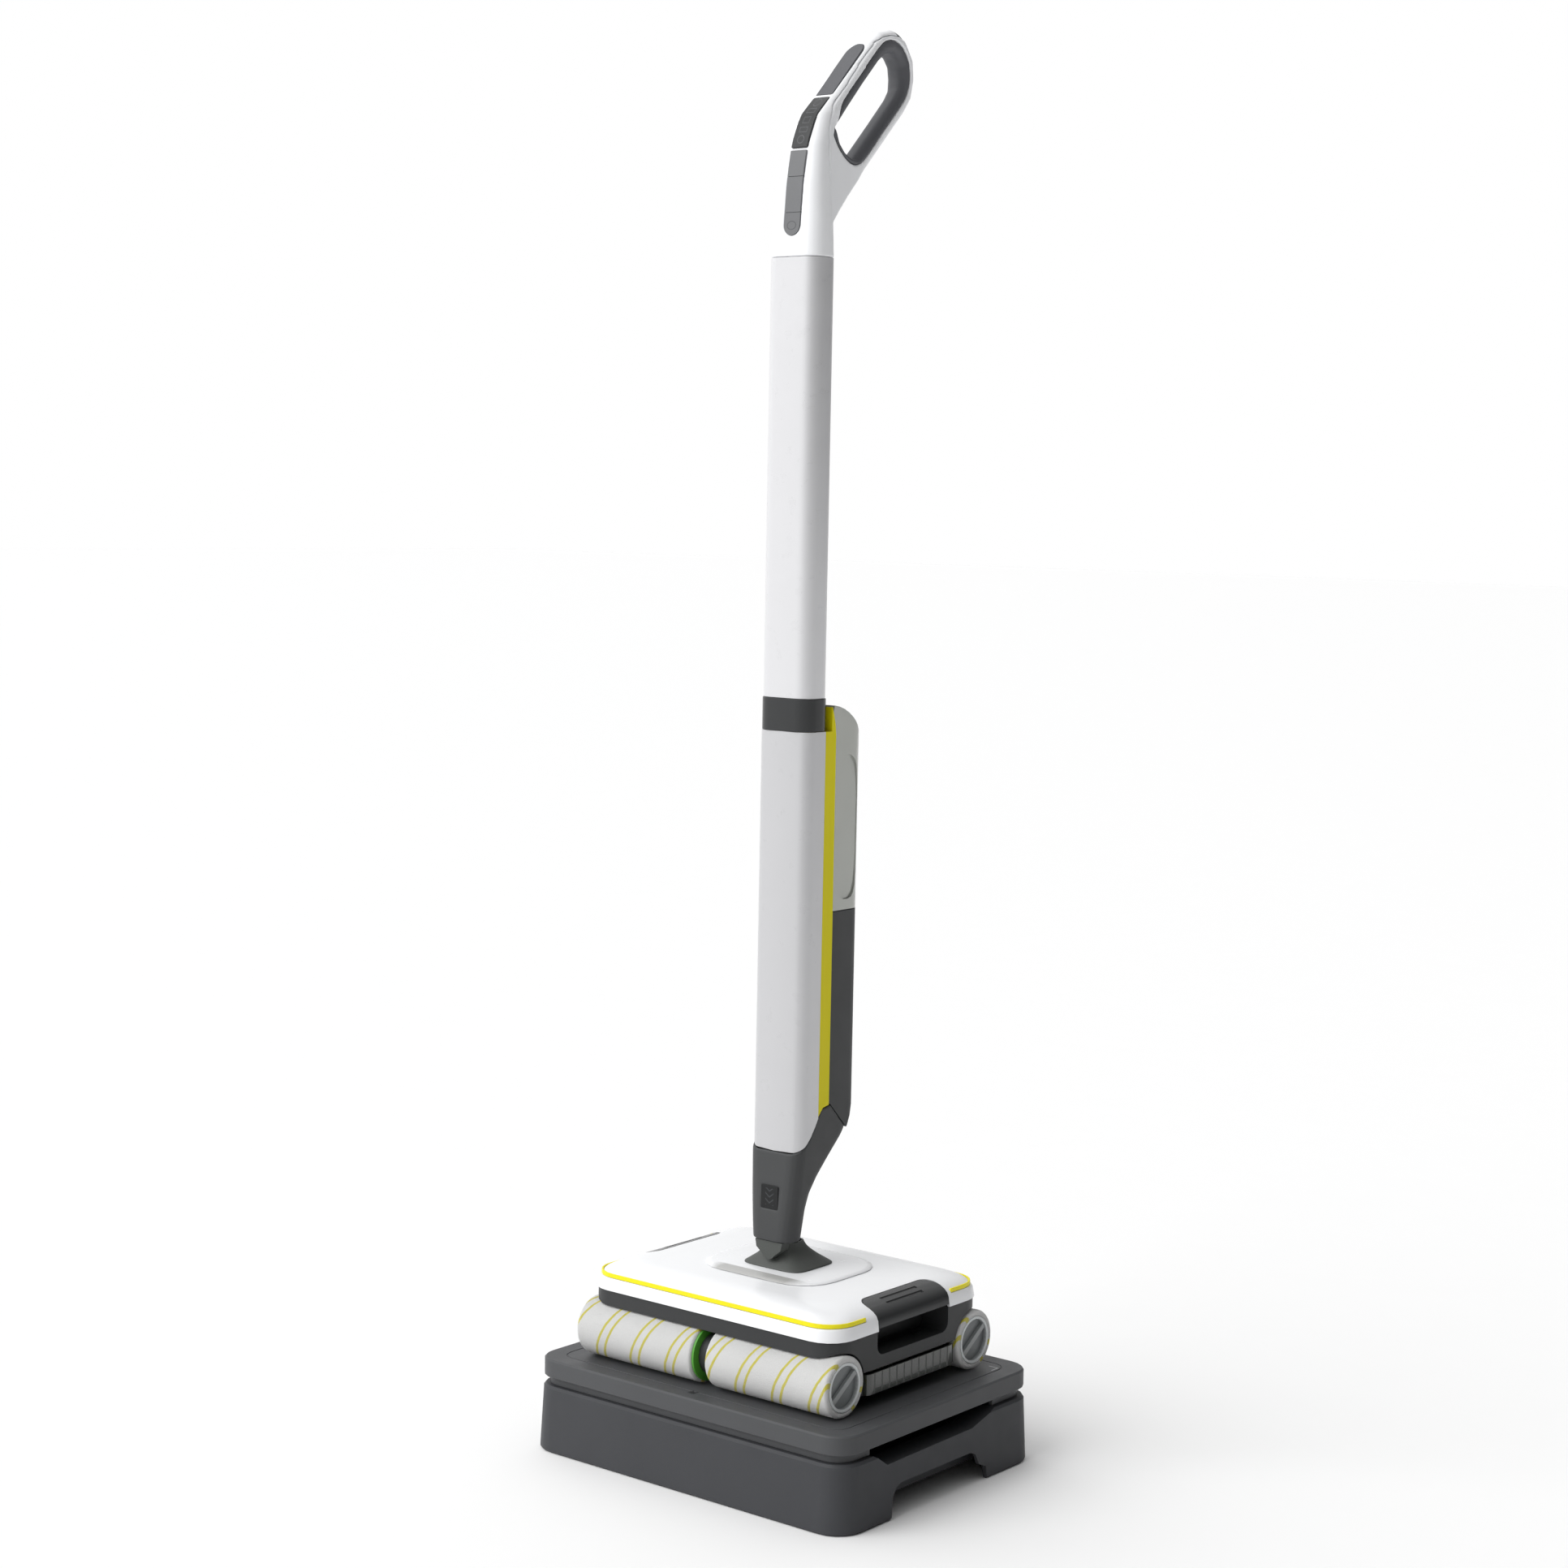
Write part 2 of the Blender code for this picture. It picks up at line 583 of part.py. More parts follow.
def cover_panel():
    half_x, centre, half_y = BOOT_HOLE
    levels = [(rounded(72 - draw, 60 - draw, 38 - draw, (0, 5)), COVER_TOP + rise)
              for draw, rise in ((0, GAP), (1.5, 1.6), (6, 2.2))]
    panel = add("cover_panel", loft(levels), "white", "head")
    cut(panel, extruded(rounded(half_x, half_y, 12, (0, centre), 3), 170, 200))


def latches():
    pin_x, pin_z = LATCH_PIN
    for side, sign in SIDES.items():
        flap = add(f"latch_{side}", cover_solid(0.2, 158, 0.2), "gloss", f"latch_{side}")
        keep(flap, extruded(latch_outline(sign, 0), 140, 190))
        cut(flap, cover_solid(3.4, 150, 3.4))
        for x in (sign * 129.5, sign * 137):
            height = surface_height(x) + 0.7
            cut(flap, rod((x, -24, height), (x, 30, height), 2.1, 12))
        # room for the stand's ears, and the knuckle that turns on the pin
        for ear_y in (-32.2, 38.2):
            cut(flap, box((sign * 125.2 - 4.2, ear_y - 2.6, 150), (sign * 125.2 + 4.2, ear_y + 2.6, 174.4)))
        join(flap, rod((sign * pin_x, -20, pin_z), (sign * pin_x, 26, pin_z), 3.4, 16),
             box((sign * pin_x - 2.8, -20, pin_z), (sign * pin_x + 2.8, 26, pin_z + 5)))
        cut(flap, rod((sign * pin_x, -40, pin_z), (sign * pin_x, 50, pin_z), 1.5 + GAP, 16))
        add(f"latch_pin_{side}", rod((sign * pin_x, -34, pin_z), (sign * pin_x, 40, pin_z), 1.5, 12),
            "steel", "head")


# ---------------------------------------------------------------- joint between the head and the upright
def tilt_joint():
    stand = add("pivot_bracket", box((-27, TILT_Y - 8, 157.5), (27, TILT_Y + 8, 161.5)), "dark", "head")
    for sign in SIDES.values():
        ear = [(TILT_Y - 8, 158), (TILT_Y + 8, 158), *arc((TILT_Y, TILT_Z), 6, 0, 180, 10)]
        join(stand, extruded(ear, *sorted((sign * 18, sign * 23)), "X"))
        leg = sorted((sign * 23, sign * 27))
        join(stand, box((leg[0], TILT_Y - 8, 125 + GAP), (leg[1], TILT_Y + 8, 160)))
    cut(stand, rod((-40, TILT_Y, TILT_Z), (40, TILT_Y, TILT_Z), 3 + GAP, 16))
    add("tilt_pin", rod((-22.5, TILT_Y, TILT_Z), (22.5, TILT_Y, TILT_Z), 3, 16), "steel", "head")

    knuckle = add("tilt_knuckle", rod((-17, TILT_Y, TILT_Z), (17, TILT_Y, TILT_Z), 7, 24), "dark", "knuckle")
    join(knuckle, box((-7, -8, TILT_Z), (7, 8, SWIVEL_Z)),
         rod((0, -14, SWIVEL_Z), (0, 8.5, SWIVEL_Z), 7, 24))
    cut(knuckle, rod((-40, TILT_Y, TILT_Z), (40, TILT_Y, TILT_Z), 3 + GAP, 16),
        rod((0, -40, SWIVEL_Z), (0, 40, SWIVEL_Z), 2.5 + GAP, 16))

    tip = arc((0, SWIVEL_Z), 7.5, 210, 330, 8)
    cheek = [(-16, 206.8), (-14.5, 199.5), *tip, (14.5, 199.5), (16, 206.8)]
    yoke = add("swivel_yoke", extruded(cheek, -26, -14.3, "Y"), "dark", "upright")
    join(yoke, box((-16, -15, 204.3), (16, -1, 206.8)))
    cut(yoke, rod((0, -19, SWIVEL_Z), (0, 40, SWIVEL_Z), 2.5 + GAP, 16))
    add("swivel_pin", rod((0, -18.5, SWIVEL_Z), (0, 8, SWIVEL_Z), 2.5, 16), "steel", "upright")

    foot = COVER_TOP + 2.2 + GAP
    centre = (0, BOOT_HOLE[1])
    boot = add("joint_boot", loft([
        (rounded(35, 31, 9, centre, 3), foot), (rounded(34, 30, 9, centre, 3), foot + 1.2),
        (rounded(25.5, 23.5, 8, centre, 3), 188.6),
    ]), "rubber", "head")
    cut(boot, loft([
        (rounded(33.5, 29.5, 8, centre, 3), foot - 2), (rounded(32, 28, 8, centre, 3), foot + 1),
        (rounded(23.5, 21.5, 7, centre, 3), 189),
    ]))


# ---------------------------------------------------------------- lower part of the upright
SHOE_LEVELS = (  # height, front, rear, half width and how much narrower it is at the back
    (HOUSING_BOTTOM, -28, 0, 23, 0.0), (222, -27.3, 1, 24.6, 0.0), (237, -26.4, 3, 26, 0.02),
    (251, -25.4, 7.5, 27.4, 0.04), (265, -24.4, 17.5, 28.4, 0.06), (276, -23.6, 28, 29.2, 0.08),
    (287, -23, 39, 29.8, 0.09), (299, -22.6, 52, 30, 0.1), (311, -22.2, 61, 30, 0.1), (331, -22, 69, 30, 0.1),
)
HEM = [(-23.5, 290), (-19, 291.5), (-12, 296), (-4, 304), (3, 314), (8, 322.5), (14, 329.5), (27, 331)]
REAR_SEAM = [(27, 331), (60, 298)]


def shoe_ring(level, inset):
    z, front, rear, half_x, taper = level
    half_y = (rear - front) / 2 - inset
    outline = rounded(half_x - inset, half_y, min(12.0, half_y - 1), (0, (front + rear) / 2), 4)
    return [(x * (1 - taper * (y - front) / (rear - front)), y) for x, y in outline], z


def lower_housing():
    shoe = add("lower_housing", loft([shoe_ring(level, 0) for level in SHOE_LEVELS]), "dark", "upright")
    above = [(-60, HEM[0][1]), *HEM, REAR_SEAM[1], (95, 263), (95, 430), (-60, 430)]
    room = [shoe_ring((z + (3 if i == 0 else 0), *rest), 2.4) for i, (z, *rest) in enumerate(SHOE_LEVELS)]
    cut(shoe, extruded(above, -50, 50, "X"), loft(room))
    cut(shoe, box((-10.3, -40, 236.7), (10.3, -24.6, 259.3)))
    add("chevron_badge", box((-10, -26, 237), (10, -24.9, 259)), "gloss", "upright")


def front_profile(inset):
    """Plan outline of the front shell: flat sides, round corners and a slightly crowned front."""
    half_x, corner = 30 - inset, 12.0 - inset
    front = -20.2 + inset
    right = arc((half_x - corner, front + corner), corner, 0, -82, 6)
    crown = [(0.0, front - 1.3)]
    return [(half_x, 6.9), *right, *crown, *[(-x, y) for x, y in reversed(right)], (-half_x, 6.9)]


def body_front_shell():
    outline = front_profile(0) + front_profile(2)[::-1]
    shell = add("body_front_shell", extruded(outline, FRONT_BOTTOM - 4, FRONT_TOP), "silver", "upright")
    hem = [(y, z + GAP + 0.1) for y, z in HEM]
    cut(shell, extruded([(-60, hem[0][1]), *hem, (40, 331), (40, 200), (-60, 200)], -60, 60, "X"))


def spine_frame():
    side = [(7.3, 322.5), (9.5, 325), (14, 330.2), (22.7, 331.6), (22.7, 676), (21.5, 686), (19, 695),
            (16.9, 701.5), (16.5, 701.5), (16.5, 679.4), (7.3, 679.4)]
    frame = add("spine_frame", extruded(side, -29.6, 29.6, "X"), "yellow", "upright")
    cut(frame, box((-25, -20, 346), (25, 40, 660)))


def plan_of_rear(inset):
    """Plan outline of the rear housing and the fresh tank, with round rear corners."""
    half_x, radius = 27.5 - inset, 16 - inset
    rear = REAR_DEPTH - inset
    right = arc((half_x - radius, rear - radius), radius, 0, 90, 6)
    return [(-half_x, 0), (half_x, 0), *right, *[(-x, y) for x, y in reversed(right)]]


def rear_housing():
    side = [(23.1, 331.5), (27.2, 331.5), (53, 305.7), (57.4, 314), (62, 325), (66, 338), (68.8, 353),
            (REAR_DEPTH, 370), (REAR_DEPTH, TANK_SEAM - GAP), (23.1, TANK_SEAM - GAP)]
    shell = add("rear_housing", extruded(side, -30, 30, "X"), "dark", "upright")
    keep(shell, extruded(plan_of_rear(0), 250, 600))
    room = [(10, 350), (30, 334), (51, 313), (58, 327), (63, 343), (66.4, 360), (67.6, 376), (67.6, 509),
            (10, 509)]
    cut(shell, common(extruded(room, -40, 40, "X"), extruded(plan_of_rear(2.4), 250, 600), "rear_room"))


def tank_side(inset):
    """Side outline of the fresh-water tank: upright back, quarter-round top, front on the spine."""
    radius = REAR_DEPTH - 17 - inset
    top = arc((17, FRESH_TOP - 53), radius, 0, 84, 10)
    front = [(20 + inset, 695), (21.9 + inset, 686), (23.1 + inset, 676)]
    return [(23.1 + inset, TANK_SEAM + GAP + inset), (REAR_DEPTH - inset, TANK_SEAM + GAP + inset),
            *top, *front]


def fresh_water_tank():
    tank = add("fresh_water_tank", extruded(tank_side(0), -30, 30, "X"), "clear", "fresh_tank")
    keep(tank, extruded(plan_of_rear(0), 450, 760))
    room = common(extruded(tank_side(2.2), -40, 40, "X"), extruded(plan_of_rear(4.6), 450, 760), "tank_room")
    cut(tank, room, rod((0, 10, 600), (0, 30, 600), 11, 24))
    grip = smooth([(32, 535), (32, 600), (34, 640), (42, 656), (54, 652),
                   (59, 636), (60, 600), (58, 535), (45, 522)])
    for sign in SIDES.values():
        cut(tank, extruded(grip, *sorted((sign * 25.5, sign * 40)), "X"))
    profile = [(0, 27.5), (10.6, 27.5), (10.6, 22.7), (14, 22.7), (14, 18.5), (13, 17.5), (0, 17.5)]
    add("tank_cap", turned(profile, (0, 0, 600), (0, 1, 0), 24), "rubber", "tank_cap")


def inner_parts():
    add("battery_pack", extruded(rounded(21, 17, 4, (0, 45.5), 2), 365, 500), "cell", "upright")
    pump = add("water_pump", rod((0, 44, 338), (0, 44, 361), 13, 24), "dark", "upright")
    join(pump, rod((0, 44, 330), (0, 44, 340), 4, 12))
    add("main_board", box((-23, -2, 420), (23, -0.4, 590)), "board", "upright")


def tube_outline(inset, corner=TUBE_CORNER):
    return rounded(TUBE[0] - inset, TUBE[1] - inset, corner - inset, (0, TUBE_Y), 6)


def collar_and_tube():
    collar = add("collar", extruded(tube_outline(-0.8), *COLLAR), "dark", "upright")
    join(collar, extruded(tube_outline(2.2), COLLAR[1] - 5, COLLAR[1] + 60))
    cut(collar, extruded(tube_outline(5), COLLAR[0] + 3, COLLAR[1] + 90))
    tube = add("upper_tube", extruded(tube_outline(0), COLLAR[1] + GAP, TUBE_TOP), "silver", "upright")
    cut(tube, extruded(tube_outline(1.8), COLLAR[1] - 5, TUBE_TOP + 5))


# ---------------------------------------------------------------- handle
FRONT_EDGE = [(-20.7, HANDLE_BOTTOM), (-19, 1136), (-16, 1172), (-10.6, 1203), (-5.3, 1218), (4, 1235),
              (23, 1252.5), (50.4, 1281), (74.7, 1305.2), (91, 1317)]
# centre y and z, half width, half depth, corner radius and lean from upright, all round the loop
HANDLE_STATIONS = (
    (-3, HANDLE_BOTTOM, 29, 18, 14, 0), (-2.2, 1136, 27.5, 16.8, 13, 3), (-1, 1170, 24.5, 15, 12, 8),
    (3.5, 1203, 21, 13.2, 10.5, 16), (13, 1228, 18, 12, 9.5, 30), (33, 1248, 16.3, 11.2, 9, 42),
    (58, 1273.5, 15.3, 10.8, 8.6, 45), (82, 1297.5, 15, 10.7, 8.4, 47), (96, 1307.5, 14.2, 10.6, 8, 62),
    (112, 1311.4, 13, 10.6, 7.8, 88), (127, 1306, 12, 10.5, 7.6, 120), (136.5, 1294, 11.3, 10.4, 7.5, 155),
    (138.3, 1280, 10.8, 10.3, 7.4, 180), (136, 1266, 10.2, 9.9, 7.2, 205), (127.5, 1254.5, 9.8, 9.6, 7, 222),
    (102, 1228.7, 9.6, 9.4, 6.9, 225), (76.4, 1203, 9.6, 9.4, 6.9, 225), (60, 1186.5, 9.8, 9.4, 6.9, 225),
)
WEB = [(3, 1150), (8, 1120), (14.6, 1114), (22, 1127), (28, 1137), (38, 1150), (50, 1164), (66, 1181),
       (72, 1189),
       (63, 1198.5), (54, 1199.5), (45, 1203.5), (37, 1211), (32, 1222), (27, 1227), (14, 1212), (5, 1185)]
GRIP_EDGE = [(37.5, 1253), (61.5, 1277), (84, 1300), (97, 1309), (112, 1311.5), (126, 1306.5), (136, 1295),
             (139, 1281), (136, 1266), (127, 1254), (101, 1228), (80, 1206), (68, 1196.5), (59, 1194.5),
             (50, 1197), (42, 1202), (33, 1211), (27, 1222), (27, 1236), (31, 1245)]
SEAM = [(8, HANDLE_BOTTOM - 5), (8, 1141), (7, 1177), (6.5, 1199), (9.5, 1224), (18, 1243), (39, 1263.5),
        (63, 1289), (82, 1307), (94, 1313), (106, 1316), (122, 1317), (134, 1325)]
BUMPER = ((113.5, 1288.0), 33.4, 30.6, (46, 86))   # centre, outer and inner radius, first and last angle
STRIP_HALF = 9.0
STRIP_PIECES = (  # name, look, body, lowest and highest point
    ("power_button", "cap", "power_button", 1125.0, 1145.0),
    ("strip_cover", "cap", "upright", 1145.3, 1177.0),
    ("mode_button", "cap", "mode_button", 1177.3, 1200.5),
    ("display_window", "gloss", "upright", 1203.3, 1250.5),
    ("upper_grip_strip", "rubber", "upright", 1253.3, 1305.0),
)
STRIP_GROOVES = ((1125.0, 1200.5), (1203.3, 1250.5), (1253.3, 1305.0))


def strip_outline(extra):
    """The whole strip seen from the front, with round ends."""
    low, high = STRIP_GROOVES[0][0], STRIP_GROOVES[-1][1]
    half_x = STRIP_HALF + extra
    return rounded(half_x + 0.01, (high - low) / 2 + extra, half_x, (0, (low + high) / 2), 6)


def open_smooth(points, spans=3):
    """An open Catmull-Rom curve through the points."""
    knots = np.array(points, float)
    padded = np.vstack([2 * knots[0] - knots[1], knots, 2 * knots[-1] - knots[-2]])
    rows = []
    for t in np.linspace(0, 1, spans, endpoint=False):
        a, b, c, d = padded[:-3], padded[1:-2], padded[2:-1], padded[3:]
        rows.append(0.5 * (2 * b + (c - a) * t + (2 * a - 5 * b + 4 * c - d) * t ** 2
                           + (3 * b - a - 3 * c + d) * t ** 3))
    return [tuple(p) for p in np.stack(rows, axis=1).reshape(-1, 2)] + [tuple(knots[-1])]


def front_edge_between(low, high, sink, steps=6):
    """Points of the handle's front edge between two heights, moved sink millimetres into the handle."""
    line = np.array(open_smooth(FRONT_EDGE, 6))
    heights = np.linspace(low, high, steps + 1)
    depth = np.interp(heights, line[:, 1], line[:, 0])
    slope_y = np.gradient(np.interp(heights, line[:, 1], line[:, 0]), heights)
    length = np.hypot(slope_y, 1)
    return [(y + sink / n, z - sink * s / n) for y, z, s, n in zip(depth, heights, slope_y, length)]


def swept(stations):
    """Rounded rectangles carried along a path in the plane of symmetry and joined, with flat ends."""
    work = bmesh.new()
    rings = []
    for y, z, half_x, half_depth, corner, lean in stations:
        lean = math.radians(lean)
        rings.append([work.verts.new(Vector((u, y + v * math.cos(lean), z - v * math.sin(lean))) * MM)
                      for u, v in rounded(half_x, half_depth, corner)])
    for low, high in zip(rings, rings[1:]):
        for i in range(len(low)):
            j = (i + 1) % len(low)
            work.faces.new((low[i], low[j], high[j], high[i]))
    work.faces.new(reversed(rings[0]))
    work.faces.new(rings[-1])
    return from_bmesh(work)


def handle_shell(name, look):
    """The whole handle: the loop with the web that joins its lower end to the stem."""
    return join(add(name, swept(HANDLE_STATIONS), look, "upright"), extruded(WEB, -9.5, 9.5, "X"))


def handle():
    ahead = [*SEAM, (134, 1380), (-60, 1380), (-60, 1090)]
    behind = [(y + 0.3, z - 0.3) for y, z in SEAM] + ahead[len(SEAM):]
    front = keep(handle_shell("handle_front_shell", "white"), extruded(ahead, -60, 60, "X"))
    liner = smooth(GRIP_EDGE, 2)
    centre = np.mean(liner, axis=0)
    socket = [tuple(centre + (np.array(p) - centre) * 1.007) for p in liner]
    back = cut(handle_shell("handle_back_shell", "white"), extruded(behind, -60, 60, "X"),
               extruded(socket, -60, 60, "X"))
    keep(handle_shell("soft_grip", "rubber"), extruded(liner, -60, 60, "X"))

    middle, outer, inner, (first, last) = BUMPER
    pad = arc(middle, outer, first, last, 6) + arc(middle, inner, last, first, 6)
    add("wall_bumper", extruded(pad, -6, 6, "X"), "rubber", "upright")
    first, last = first - 0.6, last + 0.6
    room = arc(middle, outer + 9, first, last, 6) + arc(middle, inner - GAP, last, first, 6)
    for shell in (front, back):
        cut(shell, extruded(room, -6.3, 6.3, "X"))

    for low, high in STRIP_GROOVES:
        outline = front_edge_between(low - GAP, high + GAP, -6, 12)
        outline += front_edge_between(low - GAP, high + GAP, 2.5, 12)[::-1]
        room = extruded(outline, -STRIP_HALF - GAP, STRIP_HALF + GAP, "X")
        cut(front, common(room, extruded(strip_outline(GAP), -60, 160, "Y"), "strip_room"))
    for name, look, owner, low, high in STRIP_PIECES:
        thick = 1.7 if owner != "upright" else 1.9
        outline = front_edge_between(low, high, -0.4) + front_edge_between(low, high, thick)[::-1]
        piece = add(name, extruded(outline, -STRIP_HALF, STRIP_HALF, "X"), look, owner)
        keep(piece, extruded(strip_outline(0), -60, 160, "Y"))


station_tub()
station_lid()
dirty_water_tank()
chassis()
gearbox_housing()
drive_train()
rollers()
cover()
cover_panel()
latches()
tilt_joint()
lower_housing()
body_front_shell()
spine_frame()
rear_housing()
fresh_water_tank()
inner_parts()
collar_and_tube()
handle()
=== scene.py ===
# %% [markdown]
# # An upright floor scrubber parked on its washing station
# The imported CAD model gives every size, place and joint. This lesson gives it its surfaces: soft
# moulded edges, striped rollers, satin paint, smoked plastic and rubber. The frame is loaded first
# and never moved.

# %% Load the frame
import json
import math

import bmesh
import bpy
import numpy as np
from mathutils import Matrix, Vector


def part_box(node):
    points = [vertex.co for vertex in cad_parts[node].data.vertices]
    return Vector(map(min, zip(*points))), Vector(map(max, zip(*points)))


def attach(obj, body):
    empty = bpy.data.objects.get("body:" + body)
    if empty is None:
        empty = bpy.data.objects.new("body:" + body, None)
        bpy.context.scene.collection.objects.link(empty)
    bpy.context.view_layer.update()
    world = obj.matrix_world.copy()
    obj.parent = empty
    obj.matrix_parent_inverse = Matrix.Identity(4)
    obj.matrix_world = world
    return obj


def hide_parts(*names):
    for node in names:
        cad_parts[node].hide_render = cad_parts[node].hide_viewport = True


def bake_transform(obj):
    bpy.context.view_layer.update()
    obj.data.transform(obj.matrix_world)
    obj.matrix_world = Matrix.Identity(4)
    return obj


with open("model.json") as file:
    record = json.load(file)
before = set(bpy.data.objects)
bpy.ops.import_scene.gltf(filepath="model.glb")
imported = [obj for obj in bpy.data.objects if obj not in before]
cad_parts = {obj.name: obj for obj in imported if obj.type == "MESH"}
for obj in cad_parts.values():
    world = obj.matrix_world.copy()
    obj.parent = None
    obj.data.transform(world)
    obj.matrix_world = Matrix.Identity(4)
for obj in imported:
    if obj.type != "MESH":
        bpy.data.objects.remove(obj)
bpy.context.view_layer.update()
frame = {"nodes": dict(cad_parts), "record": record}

BODIES = frame["record"]["behaviour"]["bodies"]
BODY_OF = {node: body for body, nodes in BODIES.items() for node in nodes}

# %% [markdown]
# ## Writing shader maths as expressions
# A material that varies is a formula of the place on the piece. Wiring dozens of Math nodes by hand
# hides that formula, so a small class wraps one socket: arithmetic on it adds the nodes, and one
# method adds any other node with its settings and the values of its sockets.

# %% A socket that can be calculated with
class Wire:
    """One output socket. Sums and products of wires add Math nodes to the same tree."""

    def __init__(self, socket):
        self.socket = socket
        self.tree = socket.id_data

    def node(self, kind, settings, inputs, output=0):
        made = self.tree.nodes.new(kind)
        for name, value in settings.items():
            setattr(made, name, value)
        for name, value in inputs.items():
            if isinstance(value, Wire):
                self.tree.links.new(value.socket, made.inputs[name])
            else:
                made.inputs[name].default_value = value
        return Wire(made.outputs[output])

    def maths(self, operation, *others, clamp=False):
        inputs = dict(enumerate((self, *others)))
        return self.node("ShaderNodeMath", {"operation": operation, "use_clamp": clamp}, inputs)

    def __add__(self, other): return self.maths("ADD", other)
    def __sub__(self, other): return self.maths("SUBTRACT", other)
    def __mul__(self, other): return self.maths("MULTIPLY", other)
    def __truediv__(self, other): return self.maths("DIVIDE", other)
    def __rsub__(self, other): return (self * -1) + other
    def __abs__(self): return self.maths("ABSOLUTE")
    def __neg__(self): return self * -1
    __radd__ = __add__
    __rmul__ = __mul__

    def above(self, edge, softness=0.0001):
        """A mask: 0 below the edge and 1 above it, with a short ramp between."""
        return ((self - edge) / softness + 0.5).maths("ADD", 0.0, clamp=True)

    def below(self, edge, softness=0.0001):
        return ((edge - self) / softness + 0.5).maths("ADD", 0.0, clamp=True)

    def noise(self, scale, detail=3.0, roughness=0.5):
        values = {"Vector": self, "Scale": scale, "Detail": detail, "Roughness": roughness}
        return self.node("ShaderNodeTexNoise", {}, values)

    def axes(self):
        return [self.node("ShaderNodeSeparateXYZ", {}, {0: self}, i) for i in range(3)]


def mix_colours(mask, first, second):
    """The first colour where the mask is 0, the second where it is 1."""
    values = {"Factor": mask, 6: first, 7: second}
    return mask.node("ShaderNodeMix", {"data_type": "RGBA"}, values, 2)


def rgb(*channels):
    """A display colour, 0 to 255 a channel, as the linear light that shaders use."""
    values = np.array(channels) / 255
    linear = np.where(values < 0.04045, values / 12.92, ((values + 0.055) / 1.055) ** 2.4)
    return (*linear.tolist(), 1.0)


print("white is", [round(c, 3) for c in rgb(245, 246, 248)])

# %% [markdown]
# ## One recipe for all mouldings
# Most pieces here are injection moulded. Such plastic isn't one flat colour: the tool's surface
# leaves a fine grain, handling leaves slow changes in gloss, and pigment drifts a little. The recipe
# takes the grain's size and height and how far colour and gloss drift, all on the piece's own
# coordinates, so it stays put when the piece moves. Pattern functions repaint a finish afterwards.

# %% The moulding recipe
class Finish:
    """A Principled material with a place, a colour and a roughness that patterns can add to."""

    def __init__(self, name, colour, roughness, drift=0.04, grain=1500, height=0.0002, **constants):
        self.material = bpy.data.materials.new(name)
        self.material.use_nodes = True
        nodes = self.material.node_tree.nodes
        self.shader = nodes["Principled BSDF"]
        self.place = Wire(nodes.new("ShaderNodeTexCoord").outputs["Object"])
        for socket, value in constants.items():
            self.shader.inputs[socket.replace("_", " ")].default_value = value
        cloud = self.place.noise(14, 2)
        darker = (*[c * (1 - drift * 1.6) for c in colour[:3]], 1)
        lighter = (*[min(c * (1 + drift), 1) for c in colour[:3]], 1)
        self.colour = mix_colours(cloud, darker, lighter)
        self.roughness = (self.place.noise(60, 3) - 0.5) * (0.35 * roughness) + roughness
        self.relief = self.place.noise(grain, 2) * height
        self.bump = nodes.new("ShaderNodeBump")
        self.bump.inputs["Distance"].default_value = 1.0
        self.bump.inputs["Strength"].default_value = 1.0
        self.wire()

    def wire(self):
        """Feeds the present colour, roughness and relief to the shader."""
        links = self.material.node_tree.links
        links.new(self.relief.socket, self.bump.inputs["Height"])
        links.new(self.bump.outputs["Normal"], self.shader.inputs["Normal"])
        links.new(self.colour.socket, self.shader.inputs["Base Color"])
        links.new(self.roughness.socket, self.shader.inputs["Roughness"])

    def paint(self, mask, colour, roughness=None, sink=0.0):
        """Another colour where the mask is 1, with its own roughness, sunk or raised in metres."""
        self.colour = mix_colours(mask, self.colour, colour)
        if roughness is not None:
            self.roughness = self.roughness * (1 - mask) + mask * roughness
        if sink:
            self.relief = self.relief - mask * sink
        self.wire()


def dark_plastic(name, shade=0x45, roughness=0.48, **more):
    return Finish(name, rgb(shade, shade + 1, shade + 2), roughness, grain=2400, height=0.00006,
                  Specular_IOR_Level=0.25, **more)


print("the moulding recipe is ready")

# %% [markdown]
# ## The finishes
# The finishes follow the trade: a spark-eroded texture on the station, smoother satin on the joint
# and housings, gloss on the white cover, metallic lacquer on the two extrusions, soft rubber on the
# grip and the boot, and two tinted plastics for the tanks, which let a little light through.

# %% Plain finishes
station_grain = Finish("station_grain", rgb(66, 67, 70), 0.5, drift=0.05, grain=2600, height=0.00009,
                       Specular_IOR_Level=0.2)
housing_satin = dark_plastic("housing_satin", 0x45)
chassis_satin = dark_plastic("chassis_satin", 0x36, 0.42)
latch_gloss = dark_plastic("latch_gloss", 0x36, 0.24, Coat_Weight=0.12)
white_gloss = Finish("white_gloss", rgb(243, 244, 246), 0.24, drift=0.006, grain=700, height=0.00001)
handle_white = Finish("handle_white", rgb(245, 246, 248), 0.36, drift=0.008, grain=2200, height=0.00002)
yellow_satin = Finish("yellow_satin", rgb(222, 210, 2), 0.5, drift=0.02, grain=1800, height=0.00002,
                      Specular_IOR_Level=0.25)
stripe_yellow = Finish("stripe_yellow", rgb(240, 228, 12), 0.42, drift=0.02, grain=1500, height=0.00001,
                       Specular_IOR_Level=0.3)
soft_grey = Finish("soft_grey", rgb(86, 87, 91), 0.55, drift=0.04, grain=3000, height=0.00006)
boot_rubber = Finish("boot_rubber", rgb(74, 77, 74), 0.6, drift=0.05, grain=2200, height=0.00008)
scraper_rubber = Finish("scraper_rubber", rgb(40, 41, 42), 0.7, drift=0.05, grain=1800, height=0.0001)
